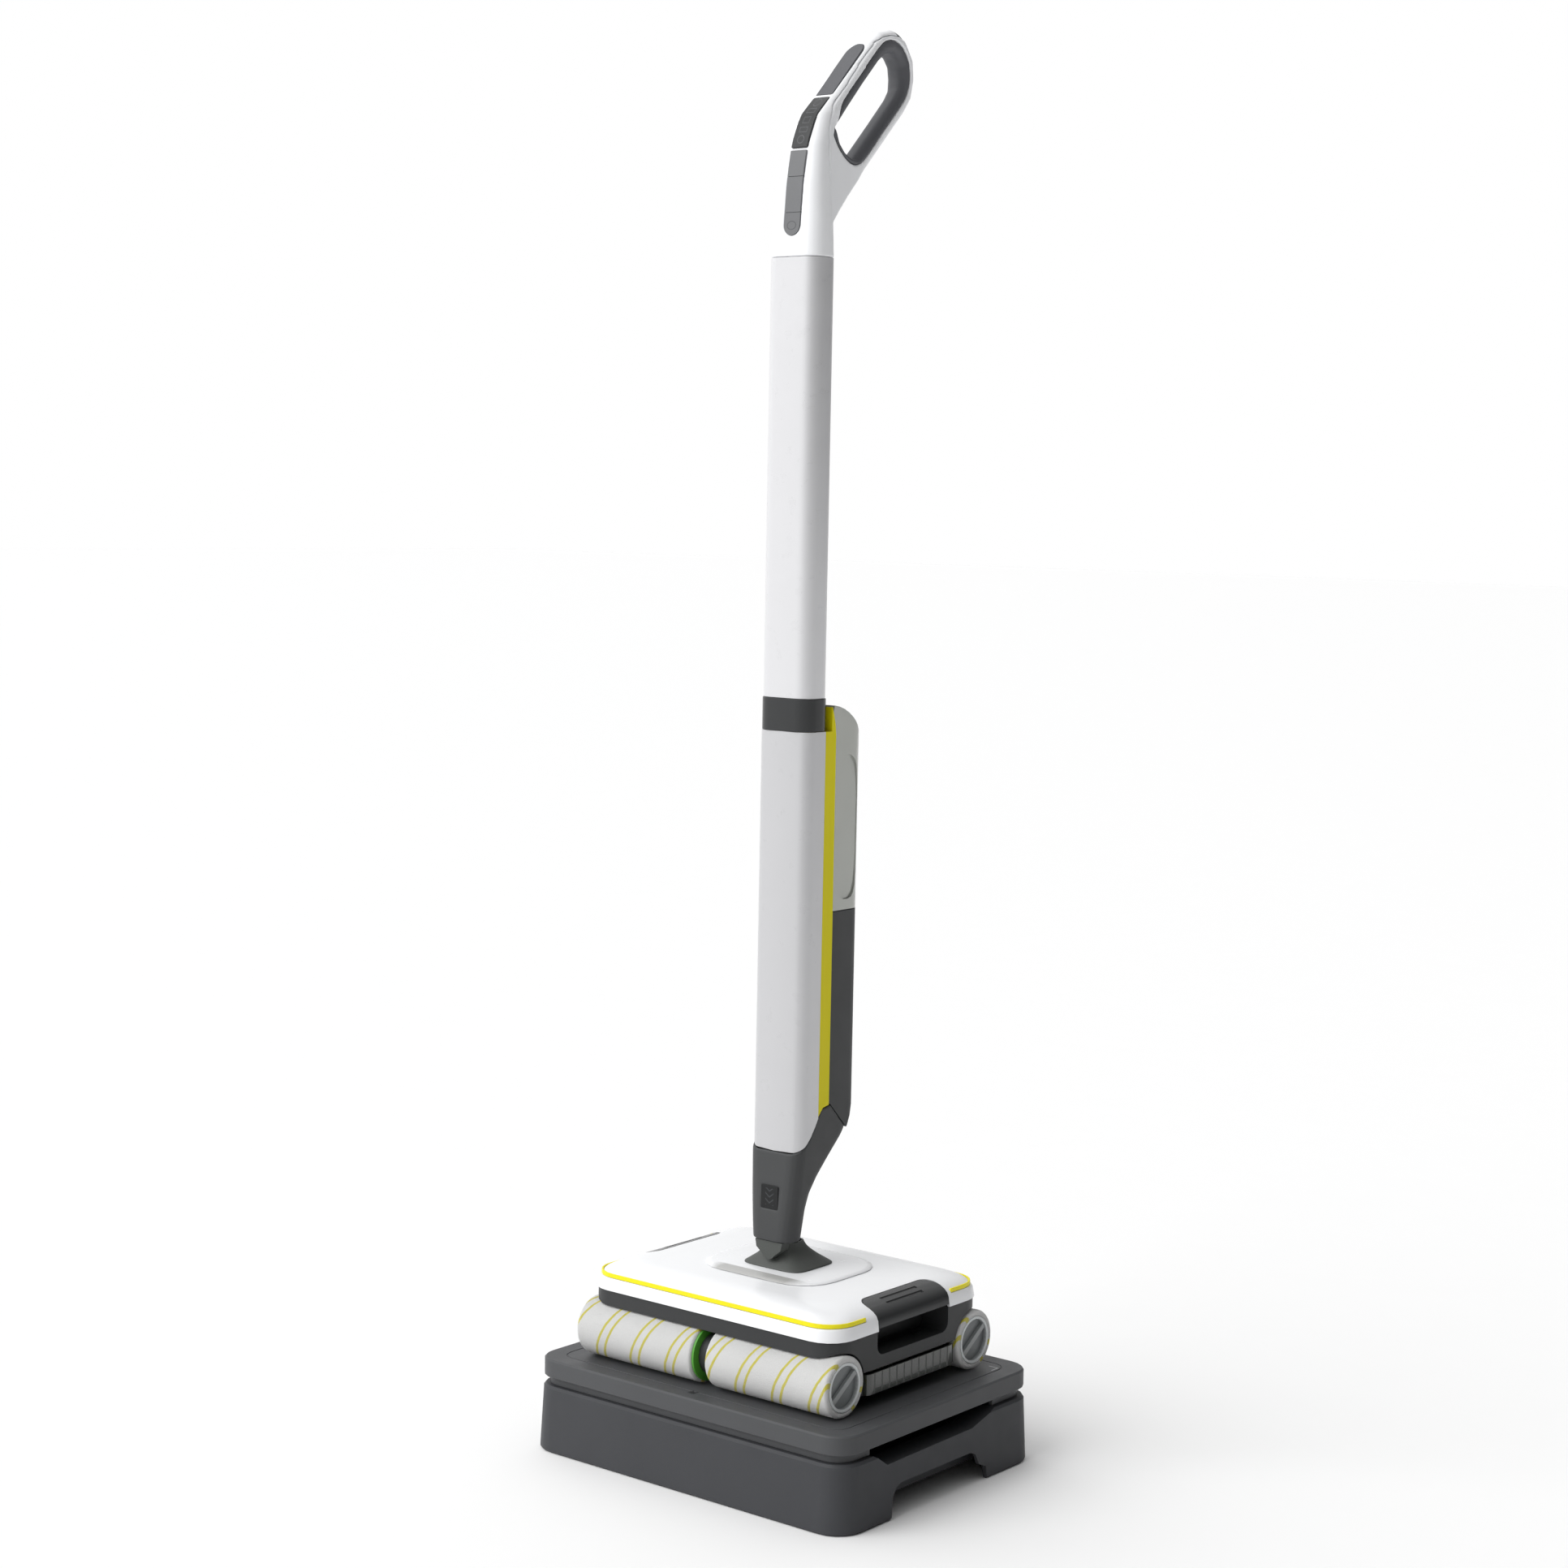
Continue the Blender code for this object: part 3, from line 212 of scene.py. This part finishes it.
strip_grey = Finish("strip_grey", rgb(112, 113, 115), 0.5, drift=0.02, grain=2600, height=0.00003)
green_ring = Finish("green_ring", rgb(78, 154, 47), 0.45, drift=0.03, grain=1800, height=0.00004)
board_green = Finish("board_green", rgb(22, 92, 50), 0.4, drift=0.08, grain=500, height=0.0001)
cell_wrap = Finish("cell_wrap", rgb(52, 84, 140), 0.35, drift=0.03, grain=900, height=0.00003)
turned_steel = Finish("turned_steel", rgb(178, 179, 182), 0.28, drift=0.05, grain=1200,
                      height=0.00003, Metallic=1.0)
print(len(bpy.data.materials), "materials so far")

# %% [markdown]
# The silver lacquer holds fine metal flakes, which sparkle as tiny changes of roughness, and it is
# only partly metallic, so it still looks pale under a soft white light. The tanks pass some light:
# their transmission is a constant, and the ribs of the mould show as slow bands.

# %% Lacquer and tinted plastics
def lacquer(name, colour):
    """Partly metallic paint in which fine flakes change the roughness."""
    paint = Finish(name, colour, 0.36, drift=0.01, grain=5200, height=0.00002,
                   Metallic=0.5, Coat_Weight=0.15)
    flakes = paint.place.noise(4200, 1).above(0.62, 0.1)
    paint.roughness = paint.roughness - flakes * 0.07
    paint.wire()
    return paint


silver_lacquer = lacquer("silver_lacquer", rgb(200, 200, 202))
tube_lacquer = lacquer("tube_lacquer", rgb(222, 222, 224))
tank_silver = Finish("tank_silver", rgb(178, 180, 174), 0.2, drift=0.05, grain=900, height=0.00002,
                     Metallic=0.25, Transmission_Weight=0.18, Coat_Weight=0.5)
tank_smoke = Finish("tank_smoke", rgb(58, 61, 57), 0.22, drift=0.08, grain=900, height=0.00002,
                    Transmission_Weight=0.22, Coat_Weight=0.4)
print("lacquer and tank finishes are ready")

# %% [markdown]
# ## Marks moulded or printed into a finish, and a painted highlight
# A few marks are part of a surface: the arrows on the badge, the triangle on the station's lid, the
# icons behind the display. They could be separate slivers of mesh, but these marks are far thinner
# than a millimetre, so they are masks worked out from the coordinates. So is a painted highlight:
# a pale stroke at the lid's rear right corner, where the edge of a shallow step catches the light.

# %% Arrows on the badge, a mark and a painted highlight on the lid
def stroke(distance, half_width, softness=0.0002):
    """A mask along a line, from the distance to it."""
    return abs(distance).below(half_width, softness)


badge_gloss = dark_plastic("badge_gloss", 0x1E, 0.3)
x, y, z = badge_gloss.place.axes()
ARROW_STEP, ARROW_SLOPE, ARROW_FOOT = 0.0055, 0.75, 0.240
arrow_phase = (z - abs(x) * ARROW_SLOPE - ARROW_FOOT) / ARROW_STEP
arrow = stroke((arrow_phase.maths("FRACT") - 0.5) * ARROW_STEP, 0.0007)
arrow = arrow * abs(x).below(0.0048) * z.above(0.2405) * z.below(0.2565)
badge_gloss.paint(arrow, rgb(58, 60, 62), 0.4, 0.0001)

lid_grain = Finish("lid_grain", rgb(80, 81, 83), 0.46, drift=0.05, grain=2600, height=0.00008,
                   Specular_IOR_Level=0.2)
x, y, z = lid_grain.place.axes()
triangle = (y + 0.1285 - abs(x) * 1.1).below(0.0, 0.0003) * y.above(-0.1335) * z.above(0.0865)
lid_grain.paint(triangle * abs(x).below(0.0035), rgb(46, 47, 48), 0.5, 0.0003)
# Painted highlight: a pale stroke at the rear right corner stands for light caught by the edge of a
# shallow step on the lid's top.
corner_highlight = stroke((x - 0.162).maths("MAXIMUM", y - 0.117), 0.0005) * x.above(0.152) * y.above(0.107)
lid_grain.paint(corner_highlight * z.above(0.0865), rgb(172, 174, 176), 0.4)
print("badge and lid marks painted")

# %% [markdown]
# The display is a dark glossy window. Behind it lie the outlines of a few simple symbols, kept
# generic: two rings and three bars. Each symbol is a distance to a circle or a box, and a
# narrow band of that distance is its outline. The key below carries an oval in the same way.

# %% The display and the two keys
display_glass = dark_plastic("display_glass", 0x34, 0.3)
x, y, z = display_glass.place.axes()
marks = []
for height in (1.2105, 1.2455):
    ring = (x * x + (z - height) * (z - height)).maths("SQRT") - 0.0035
    marks.append(stroke(ring, 0.00028))
BARS = ((1.2195, 0.0042, 0.0022), (1.2285, 0.0036, 0.0028), (1.2375, 0.0045, 0.002))
for height, half_x, half_z in BARS:
    frame_line = (abs(x) - half_x).maths("MAXIMUM", abs(z - height) - half_z)
    marks.append(stroke(frame_line, 0.00026))
symbols = marks[0]
for mark in marks[1:]:
    symbols = symbols.maths("MAXIMUM", mark)
display_glass.paint(symbols * y.below(0.03), rgb(92, 93, 96), 0.2)

key_grey = Finish("key_grey", rgb(110, 111, 113), 0.5, drift=0.02, grain=2600, height=0.00003)
x, y, z = key_grey.place.axes()
OVAL_STRETCH, OVAL_MIDDLE, OVAL_RADIUS = 1.35, 1.1335, 0.0036
across, along = x / OVAL_STRETCH, z - OVAL_MIDDLE
oval = (across * across + along * along).maths("SQRT") - OVAL_RADIUS
key_grey.paint(stroke(oval, 0.00035), rgb(84, 85, 88), 0.4, 0.0001)

panel_white = Finish("panel_white", rgb(240, 241, 243), 0.26, drift=0.008, grain=700, height=0.00001)
x, y, z = panel_white.place.axes()
# Painted shade: a grey band along the panel's front edge stands for the shade on the sloped face there,
# which faces down and forward.
front_slope_shade = y.below(-0.0395, 0.0005) * x.above(-0.044, 0.012) * x.below(0.05, 0.02)
panel_white.paint(front_slope_shade, rgb(178, 178, 176), 0.3)
print(len(marks), "symbols on the display")

# %% [markdown]
# ## The rollers' cloth
# The cloth is a short white pile with thin yellow bristle lines in pairs, wound round the roller
# like the stripes of a barber's pole. A helix is a straight line once the roller is unrolled, so the
# mask adds a share of the angle round the axle to the place along it and repeats that sum. The two
# axles differ only in where their middle lies, which a Mapping node takes away.

# %% Pile with paired helical lines
PITCH = 0.042
TURN = 2 * PITCH


def striped_pile(name, centre_y, centre_z, start):
    pile = Finish(name, rgb(230, 230, 229), 0.95, drift=0.05, grain=900, height=0.0006,
                  Sheen_Weight=0.35, Sheen_Roughness=0.5)
    settings = {"vector_type": "TEXTURE"}
    values = {"Vector": pile.place, "Location": (0.0, centre_y, centre_z)}
    x, y, z = pile.place.node("ShaderNodeMapping", settings, values).axes()
    angle = z.maths("ARCTAN2", -y)
    wander = (pile.place.noise(120, 2) - 0.5) * 0.0012
    along = x + wander - angle * (TURN / math.tau) + start
    phase = ((along / PITCH).maths("FRACT") - 0.5) * PITCH
    line = stroke(abs(phase) - 0.005, 0.0014, 0.0005)
    pile.paint(line, rgb(214, 202, 12), 0.75, -0.0002)
    tufts = pile.place.noise(1300, 4, 0.8)
    pile.relief = pile.relief + tufts * 0.0012
    # Painted shade: where the tuft relief is low, the pile is mixed toward a darker grey, as in the
    # hollows between tufts.
    pile.colour = mix_colours(tufts.below(0.46, 0.3) * 0.3, pile.colour, rgb(196, 196, 194))
    pile.wire()
    return pile


low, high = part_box("front_roller_sleeve_left")
AXLE_FRONT = ((low[1] + high[1]) / 2, (low[2] + high[2]) / 2)
low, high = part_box("rear_roller_sleeve_left")
AXLE_REAR = ((low[1] + high[1]) / 2, (low[2] + high[2]) / 2)
pile_front = striped_pile("pile_front", *AXLE_FRONT, 0.008)
pile_rear = striped_pile("pile_rear", *AXLE_REAR, 0.008)
print("axles at", [round(v, 4) for v in AXLE_FRONT + AXLE_REAR])

# %% [markdown]
# Each roller ends in a grey cap that the fingers pull. It is one moulding in two shades: a paler rim
# and a darker dish. The distance from the axle tells them apart, so no second piece is needed.

# %% The end caps
def capped(name, centre_y, centre_z):
    """Blue-grey caps inside a paler rim: the distance from the axle tells them apart."""
    cap = Finish(name, rgb(146, 149, 150), 0.32, drift=0.05, grain=1500, height=0.00004)
    x, y, z = cap.place.axes()
    y, z = y - centre_y, z - centre_z
    radius = (y * y + z * z).maths("SQRT")
    cap.paint(radius.above(0.0193, 0.0003), rgb(205, 209, 210), 0.25)
    dish = radius.below(0.0191, 0.0003) * abs(x).below(0.1446, 0.0002)
    cap.paint(dish, rgb(112, 116, 117), 0.35)
    return cap


cap_front = capped("cap_front", *AXLE_FRONT)
cap_rear = capped("cap_rear", *AXLE_REAR)
print("end caps ready")

# %% [markdown]
# ## From a faceted solid to a moulding
# A moulded part has no knife edges: every edge carries a small radius that catches the light. The
# CAD solids are exact but faceted, so a piece that keeps its shape is rebuilt from the CAD node's
# points, with the points that coincide merged and flat facets joined, and a narrow Bevel follows.
# Drawing each one anew would repeat what the model already says.

# %% Rebuild a CAD node with rounded edges
def merged(node):
    """The node's points and faces, with doubles merged and coplanar triangles joined."""
    source = frame["nodes"][node].data
    work = bmesh.new()
    work.from_mesh(source)
    bmesh.ops.remove_doubles(work, verts=work.verts, dist=2e-6)
    bmesh.ops.dissolve_limit(work, angle_limit=math.radians(0.4), verts=work.verts, edges=work.edges)
    plain = bpy.data.meshes.new("plain")
    work.to_mesh(plain)
    work.free()
    points = np.empty(len(plain.vertices) * 3, np.float32)
    plain.vertices.foreach_get("co", points)
    faces = [tuple(face.vertices) for face in plain.polygons]
    bpy.data.meshes.remove(plain)
    return points.reshape(-1, 3), faces


def new_piece(name, points, faces, finish, body):
    """A mesh object at the origin that carries a finish and rides on a body, unless it is None."""
    mesh = bpy.data.meshes.new(name)
    mesh.from_pydata(points.tolist(), [], faces if isinstance(faces, list) else faces.tolist())
    mesh.update()
    mesh.materials.append(finish.material)
    mesh.shade_smooth()
    piece = bpy.data.objects.new(name, mesh)
    bpy.context.scene.collection.objects.link(piece)
    if body:
        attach(piece, body)
    return piece


def rounded_copy(node, finish, width=0.0006, angle=34, segments=2):
    """The CAD node again, its sharp edges rounded by width."""
    points, faces = merged(node)
    piece = new_piece(f"{node}_moulded", points, faces, finish, BODY_OF[node])
    bevel = piece.modifiers.new("edge_radius", "BEVEL")
    bevel.width = width
    bevel.segments = segments
    bevel.limit_method = "ANGLE"
    bevel.angle_limit = math.radians(angle)
    bevel.harden_normals = True
    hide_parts(node)
    return piece


print("rounding helper ready")

# %% [markdown]
# Organic shapes, such as the handle, need more than rounded edges: their faces should flow. A voxel
# remesh turns the solid into an even grid of small quads, and a few smoothing passes relax the
# facets, as sanding a block of foam would. The grid is much finer than the facets, so the outline
# stays where it was to within a fraction of a millimetre.

# %% Rebuild a CAD node as a flowing surface
def applied(piece):
    """Replaces the mesh by what its modifiers make of it."""
    graph = bpy.context.evaluated_depsgraph_get()
    mesh = bpy.data.meshes.new_from_object(piece.evaluated_get(graph))
    piece.modifiers.clear()
    piece.data = mesh
    mesh.shade_smooth()


def flowing_copy(node, finish, voxel=0.0009, relax=14):
    points, faces = merged(node)
    piece = new_piece(f"{node}_moulded", points, faces, finish, BODY_OF[node])
    remesh = piece.modifiers.new("even_grid", "REMESH")
    remesh.mode = "VOXEL"
    remesh.voxel_size = voxel
    applied(piece)
    sand = piece.modifiers.new("sanding", "SMOOTH")
    sand.factor = 0.5
    sand.iterations = relax
    applied(piece)
    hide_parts(node)
    print(node, "has", len(piece.data.polygons), "small faces")
    return piece


# %% [markdown]
# ## The washing station
# The tray and its lid are two large dark mouldings. Their vertical corners are already round, so
# they only need edge radii; the lid's are softer, because hands hold it.

# %% Station
rounded_copy("station_tub", station_grain, 0.0014, segments=3)
rounded_copy("station_lid", lid_grain, 0.0012, segments=3)
print("station made")

# %% [markdown]
# ## The dirty-water tank and the floor head
# The tank between the rollers is smoked plastic, so its ribs are cut deeper by the light inside.
# The head's dark chassis, its white cover and the two stripes are separate mouldings with visible
# joints. The parts inside, under the cover, get plain industrial finishes.

# %% Tank, chassis and what is inside the head
rounded_copy("dirty_water_tank", tank_smoke, 0.0005)
rounded_copy("dirty_tank_lid", tank_smoke, 0.0004)
for node in ("front_scraper", "rear_scraper"):
    rounded_copy(node, scraper_rubber, 0.0004)
rounded_copy("chassis", chassis_satin, 0.0011, segments=3)
rounded_copy("gearbox_housing", chassis_satin, 0.0004)
for node in ("front_drive_shaft", "rear_drive_shaft", "drive_motor", "motor_gear", "reversing_gear",
             "latch_pin_left", "latch_pin_right", "tilt_pin", "swivel_pin"):
    rounded_copy(node, turned_steel, 0.0003)
for node in ("front_belt", "rear_belt"):
    rounded_copy(node, scraper_rubber, 0.0003)
print("head internals made")

# %% [markdown]
# The cover, its raised panel, the two inlaid stripes and the latches are what one sees from above.
# They keep the CAD shapes; the glossy cover gets a wider edge radius, because gloss shows edges most.

# %% Cover, panel, stripes and latches
rounded_copy("head_cover", white_gloss, 0.0007, angle=40, segments=3)
rounded_copy("cover_panel", panel_white, 0.0006, segments=3)
rounded_copy("front_stripe", stripe_yellow, 0.0004)
rounded_copy("rear_stripe", stripe_yellow, 0.0004)
for side in ("left", "right"):
    rounded_copy(f"latch_{side}", latch_gloss, 0.0008, segments=3)
print("cover made")

# %% [markdown]
# ## The rollers
# A sleeve of pile isn't a clean cylinder: it is slightly barrelled at its ends and its outline is
# fuzzy. The surface is a grid of angle round the axle and distance along it, with a radius that
# rounds off towards both ends and a little seeded roughness for the tufts.

# %% Sleeves of pile
def closed_grid(rings, around):
    """Quads between neighbouring points of a grid that closes on itself both ways, like a ring."""
    ring, spoke = np.meshgrid(np.arange(rings), np.arange(around), indexing="ij")
    next_ring, next_spoke = (ring + 1) % rings, (spoke + 1) % around
    corners = ((ring, spoke), (next_ring, spoke), (next_ring, next_spoke), (ring, next_spoke))
    return np.stack([r * around + s for r, s in corners], axis=-1).reshape(-1, 4)


def sleeve_surface(start, end, centre_y, centre_z, outer, inner, seed, around=224, along=150):
    """Radius along the axle: a quarter ellipse over the last 3 mm at each end, plus tufts.

    The rings run over the outside from start to end and back along the inside, and close.
    """
    rng = np.random.default_rng(seed)
    span = np.linspace(0, 1, along)
    x = start + (end - start) * span
    inset = np.minimum(np.abs(x - start), np.abs(end - x))
    rounding = np.clip(1 - inset / 0.003, 0, 1)
    radius = outer - 0.0022 * (1 - np.sqrt(1 - rounding ** 2))
    x = np.concatenate([x, [end, start]])
    radius = np.concatenate([radius, [inner, inner]])
    angle = np.linspace(0, math.tau, around, endpoint=False)
    tufts = rng.normal(0, 0.00007, (len(x), around))
    tufts[-2:] = 0
    reach = radius[:, None] - 0.0002 + np.clip(tufts, -0.0002, 0.0002)
    points = np.stack([np.broadcast_to(x[:, None], reach.shape),
                       centre_y + reach * np.cos(angle), centre_z + reach * np.sin(angle)], axis=-1)
    faces = closed_grid(len(x), around)
    return points.reshape(-1, 3), faces[:, ::-1] if end > start else faces


CORE_RADIUS = 0.0226
AXLES = {"front": (AXLE_FRONT, pile_front, cap_front), "rear": (AXLE_REAR, pile_rear, cap_rear)}
for number, (end, (centre, pile, cap)) in enumerate(AXLES.items()):
    for side in ("left", "right"):
        node = f"{end}_roller_sleeve_{side}"
        low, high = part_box(node)
        first, last = sorted((low[0], high[0]), key=abs)
        outer = (high[2] - low[2]) / 2
        seed = number * 2 + len(side)
        points, faces = sleeve_surface(first, last, *centre, outer, CORE_RADIUS, seed)
        piece = new_piece(f"{node}_pile", points, faces, pile, BODY_OF[node])
        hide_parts(node)
        rounded_copy(f"{end}_roller_core_{side}", cap, 0.0004)
    rounded_copy(f"{end}_roller_ring", green_ring, 0.0004)
print("four rollers made")

# %% [markdown]
# ## The joint
# The neck tilts and leans. The soft boot at its foot is one rubber moulding, built once where it
# stands and attached to no body. The bracket, knuckle and yoke are hard plastic.

# %% Boot
def boot_surface(rings, around=128):
    """Superellipses |x/a|^n + |y/b|^n = 1 stacked along z, smoothly spaced, closed like a tube's wall.

    Each ring is (height, half width, half depth, centre y, exponent n); n falls from 5, nearly a
    rectangle with round corners, at the foot to 3 at the neck. The wall returns inside, 1.6 mm in.
    """
    knots = np.array(rings)
    fine = np.linspace(0, len(knots) - 1, 8 * len(knots))
    before = np.clip(np.floor(fine).astype(int), 0, len(knots) - 2)
    t = (fine - before)[:, None]
    padded = np.vstack([2 * knots[0] - knots[1], knots, 2 * knots[-1] - knots[-2]])
    a, b, c, d = (padded[before + k] for k in range(4))
    wall = 0.5 * (2 * b + (c - a) * t + (2 * a - 5 * b + 4 * c - d) * t ** 2
                  + (3 * b - a - 3 * c + d) * t ** 3)
    inside = wall[::-1].copy()
    inside[:, 1:3] -= 0.0016
    z, half_x, half_y, centre, power = np.vstack([wall, inside]).T[:, :, None]
    angle = np.linspace(0, math.tau, around, endpoint=False)[None, :]
    cos, sin = np.cos(angle), np.sin(angle)
    x = half_x * np.sign(cos) * np.abs(cos) ** (2 / power)
    y = centre + half_y * np.sign(sin) * np.abs(sin) ** (2 / power)
    points = np.stack([x, y, np.broadcast_to(z, x.shape)], axis=-1)
    return points.reshape(-1, 3), np.roll(closed_grid(len(points), around)[:, ::-1], 1, axis=1)


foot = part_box("joint_boot")[0][2]
points, faces = boot_surface([
    (foot, 0.0350, 0.0310, 0.0040, 5.0), (foot + 0.001, 0.0346, 0.0306, 0.0040, 5.0),
    (foot + 0.004, 0.0305, 0.0272, 0.0036, 4.6), (foot + 0.008, 0.0252, 0.0226, 0.0028, 4.2),
    (foot + 0.012, 0.0212, 0.0188, 0.0018, 3.8), (foot + 0.016, 0.0183, 0.0160, 0.0006, 3.4),
    (foot + 0.020, 0.0168, 0.0142, -0.0006, 3.2), (foot + 0.0225, 0.0164, 0.0136, -0.0012, 3.0)])
boot = new_piece("joint_boot_rubber", points, faces, boot_rubber, None)
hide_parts("joint_boot")
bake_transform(boot)
print("boot has", len(faces), "faces")

# %% [markdown]
# Inside the boot the hard parts of the joint show only a little, so an edge radius is enough.

# %% Bracket, knuckle and yoke
rounded_copy("pivot_bracket", chassis_satin, 0.0006)
rounded_copy("tilt_knuckle", boot_rubber, 0.0008, segments=3)
rounded_copy("swivel_yoke", boot_rubber, 0.0009, segments=3)
print("joint made")

# %% [markdown]
# ## The upright
# From the bottom up: a dark shoe that flows out of the joint, the silver front shell, the yellow
# frame that shows as a line along the side, the rear housing, the clean-water tank, the collar and
# the tube. The extruded shells have a slight radius at their cut ends.

# %% Shoe, shells and tanks
flowing_copy("lower_housing", housing_satin, 0.0009, 12)
rounded_copy("chevron_badge", badge_gloss, 0.0003)
rounded_copy("body_front_shell", silver_lacquer, 0.0004)
rounded_copy("spine_frame", yellow_satin, 0.0008, segments=3)
rounded_copy("rear_housing", housing_satin, 0.0012, segments=3)
rounded_copy("fresh_water_tank", tank_silver, 0.0014, segments=3)
rounded_copy("tank_cap", scraper_rubber, 0.0004)
rounded_copy("collar", latch_gloss, 0.0005)
rounded_copy("upper_tube", tube_lacquer, 0.0003)
rounded_copy("battery_pack", cell_wrap, 0.0006)
rounded_copy("water_pump", housing_satin, 0.0005)
rounded_copy("main_board", board_green, 0.0002)
print("upright made")

# %% [markdown]
# ## The handle
# The loop is two white shells with a soft grip between them and a strip of keys down the front.
# The shells and the grip are flowing surfaces; the strip's pieces keep their crisp outlines.

# %% Handle shells, grip and strip
flowing_copy("handle_front_shell", handle_white, 0.0008, 22)
flowing_copy("handle_back_shell", handle_white, 0.0008, 22)
flowing_copy("soft_grip", soft_grey, 0.0008, 16)
rounded_copy("wall_bumper", soft_grey, 0.0004)
rounded_copy("power_button", key_grey, 0.0003)
rounded_copy("strip_cover", strip_grey, 0.0003)
rounded_copy("mode_button", strip_grey, 0.0003)
rounded_copy("display_window", display_glass, 0.0003)
rounded_copy("upper_grip_strip", soft_grey, 0.0004)
print("handle made")

# %% [markdown]
# ## Floor
# The object stands on a plain pale floor. One large rectangle is enough.

# %% Floor
REACH = 30
BELOW = -0.0005
corners = [(x, y, BELOW) for x, y in ((-REACH, -REACH), (REACH, -REACH), (REACH, REACH), (-REACH, REACH))]
floor_mesh = bpy.data.meshes.new("floor")
floor_mesh.from_pydata(corners, [], [(0, 1, 2, 3)])
floor = bpy.data.objects.new("floor", floor_mesh)
bpy.context.scene.collection.objects.link(floor)
paper = Finish("paper", (0.93, 0.93, 0.93, 1.0), 0.9, drift=0.003, grain=60, height=0.00002)
floor_mesh.materials.append(paper.material)
print("floor reaches", REACH, "m each way")

# %% [markdown]
# ## Light
# A pale studio can be built from area lights, or from a surrounding that is brighter on one side.
# The second gives softer edges: here the surroundings are brightest on the left and overhead and dark
# on the right, so the right side of the object is darker than its front. A very broad sun from the
# front gives the soft shadow. To the camera itself the surroundings are plain white.

# %% Light
BASE, FROM_LEFT, FROM_FRONT, FROM_ABOVE, DARKEST = 0.4, 0.7, 0.15, 0.5, 0.02
world = bpy.data.worlds.new("studio")
bpy.context.scene.world = world
world.use_nodes = True
room = world.node_tree.nodes
direction = Wire(room.new("ShaderNodeTexCoord").outputs["Generated"])
x, y, z = direction.axes()
glow = (BASE - x * FROM_LEFT - y * FROM_FRONT + z * FROM_ABOVE).maths("MAXIMUM", DARKEST)
seen = Wire(room.new("ShaderNodeLightPath").outputs["Is Camera Ray"])
glow = glow * (1 - seen) + seen
world.node_tree.links.new(glow.socket, room["Background"].inputs["Strength"])
room["Background"].inputs["Color"].default_value = (1.0, 1.0, 1.0, 1.0)

key_data = bpy.data.lights.new("key", "SUN")
key_data.energy = 1.6
key_data.angle = math.radians(48)
key = bpy.data.objects.new("key", key_data)
bpy.context.scene.collection.objects.link(key)
key.rotation_mode = "QUATERNION"
key.rotation_quaternion = Vector((0.3, 0.7, -0.7)).to_track_quat("-Z", "Y")
print("lights placed")

# %% [markdown]
# ## Camera
# The camera looks slightly down from the front right. It could be aimed with a constraint, but three
# angles say more plainly how it stands: how far round it is, how far it looks down, how far it leans.

# %% Camera
YAW, PITCH_DOWN, ROLL = (math.radians(a) for a in (38.92, 5.71, 1.06))
CAMERA_PLACE = (1.6467, -2.0549, 0.893)
FOCAL_LENGTH, SENSOR_WIDTH = 66.23, 36.0
level = math.cos(PITCH_DOWN)
ahead = Vector((-math.sin(YAW) * level, math.cos(YAW) * level, -math.sin(PITCH_DOWN)))
level_right = Vector((math.cos(YAW), math.sin(YAW), 0.0))
level_up = level_right.cross(ahead)
right = level_right * math.cos(ROLL) + level_up * math.sin(ROLL)
up = level_up * math.cos(ROLL) - level_right * math.sin(ROLL)
lens = bpy.data.cameras.new("camera")
lens.sensor_width = SENSOR_WIDTH
lens.lens = FOCAL_LENGTH
lens.clip_end = 60.0
camera = bpy.data.objects.new("camera", lens)
bpy.context.scene.collection.objects.link(camera)
turn = Matrix((right, up, -ahead)).transposed().to_4x4()
camera.matrix_world = Matrix.Translation(CAMERA_PLACE) @ turn
bpy.context.scene.camera = camera
bpy.context.scene.view_settings.view_transform = "Standard"
print("camera at", [round(v, 3) for v in camera.location])
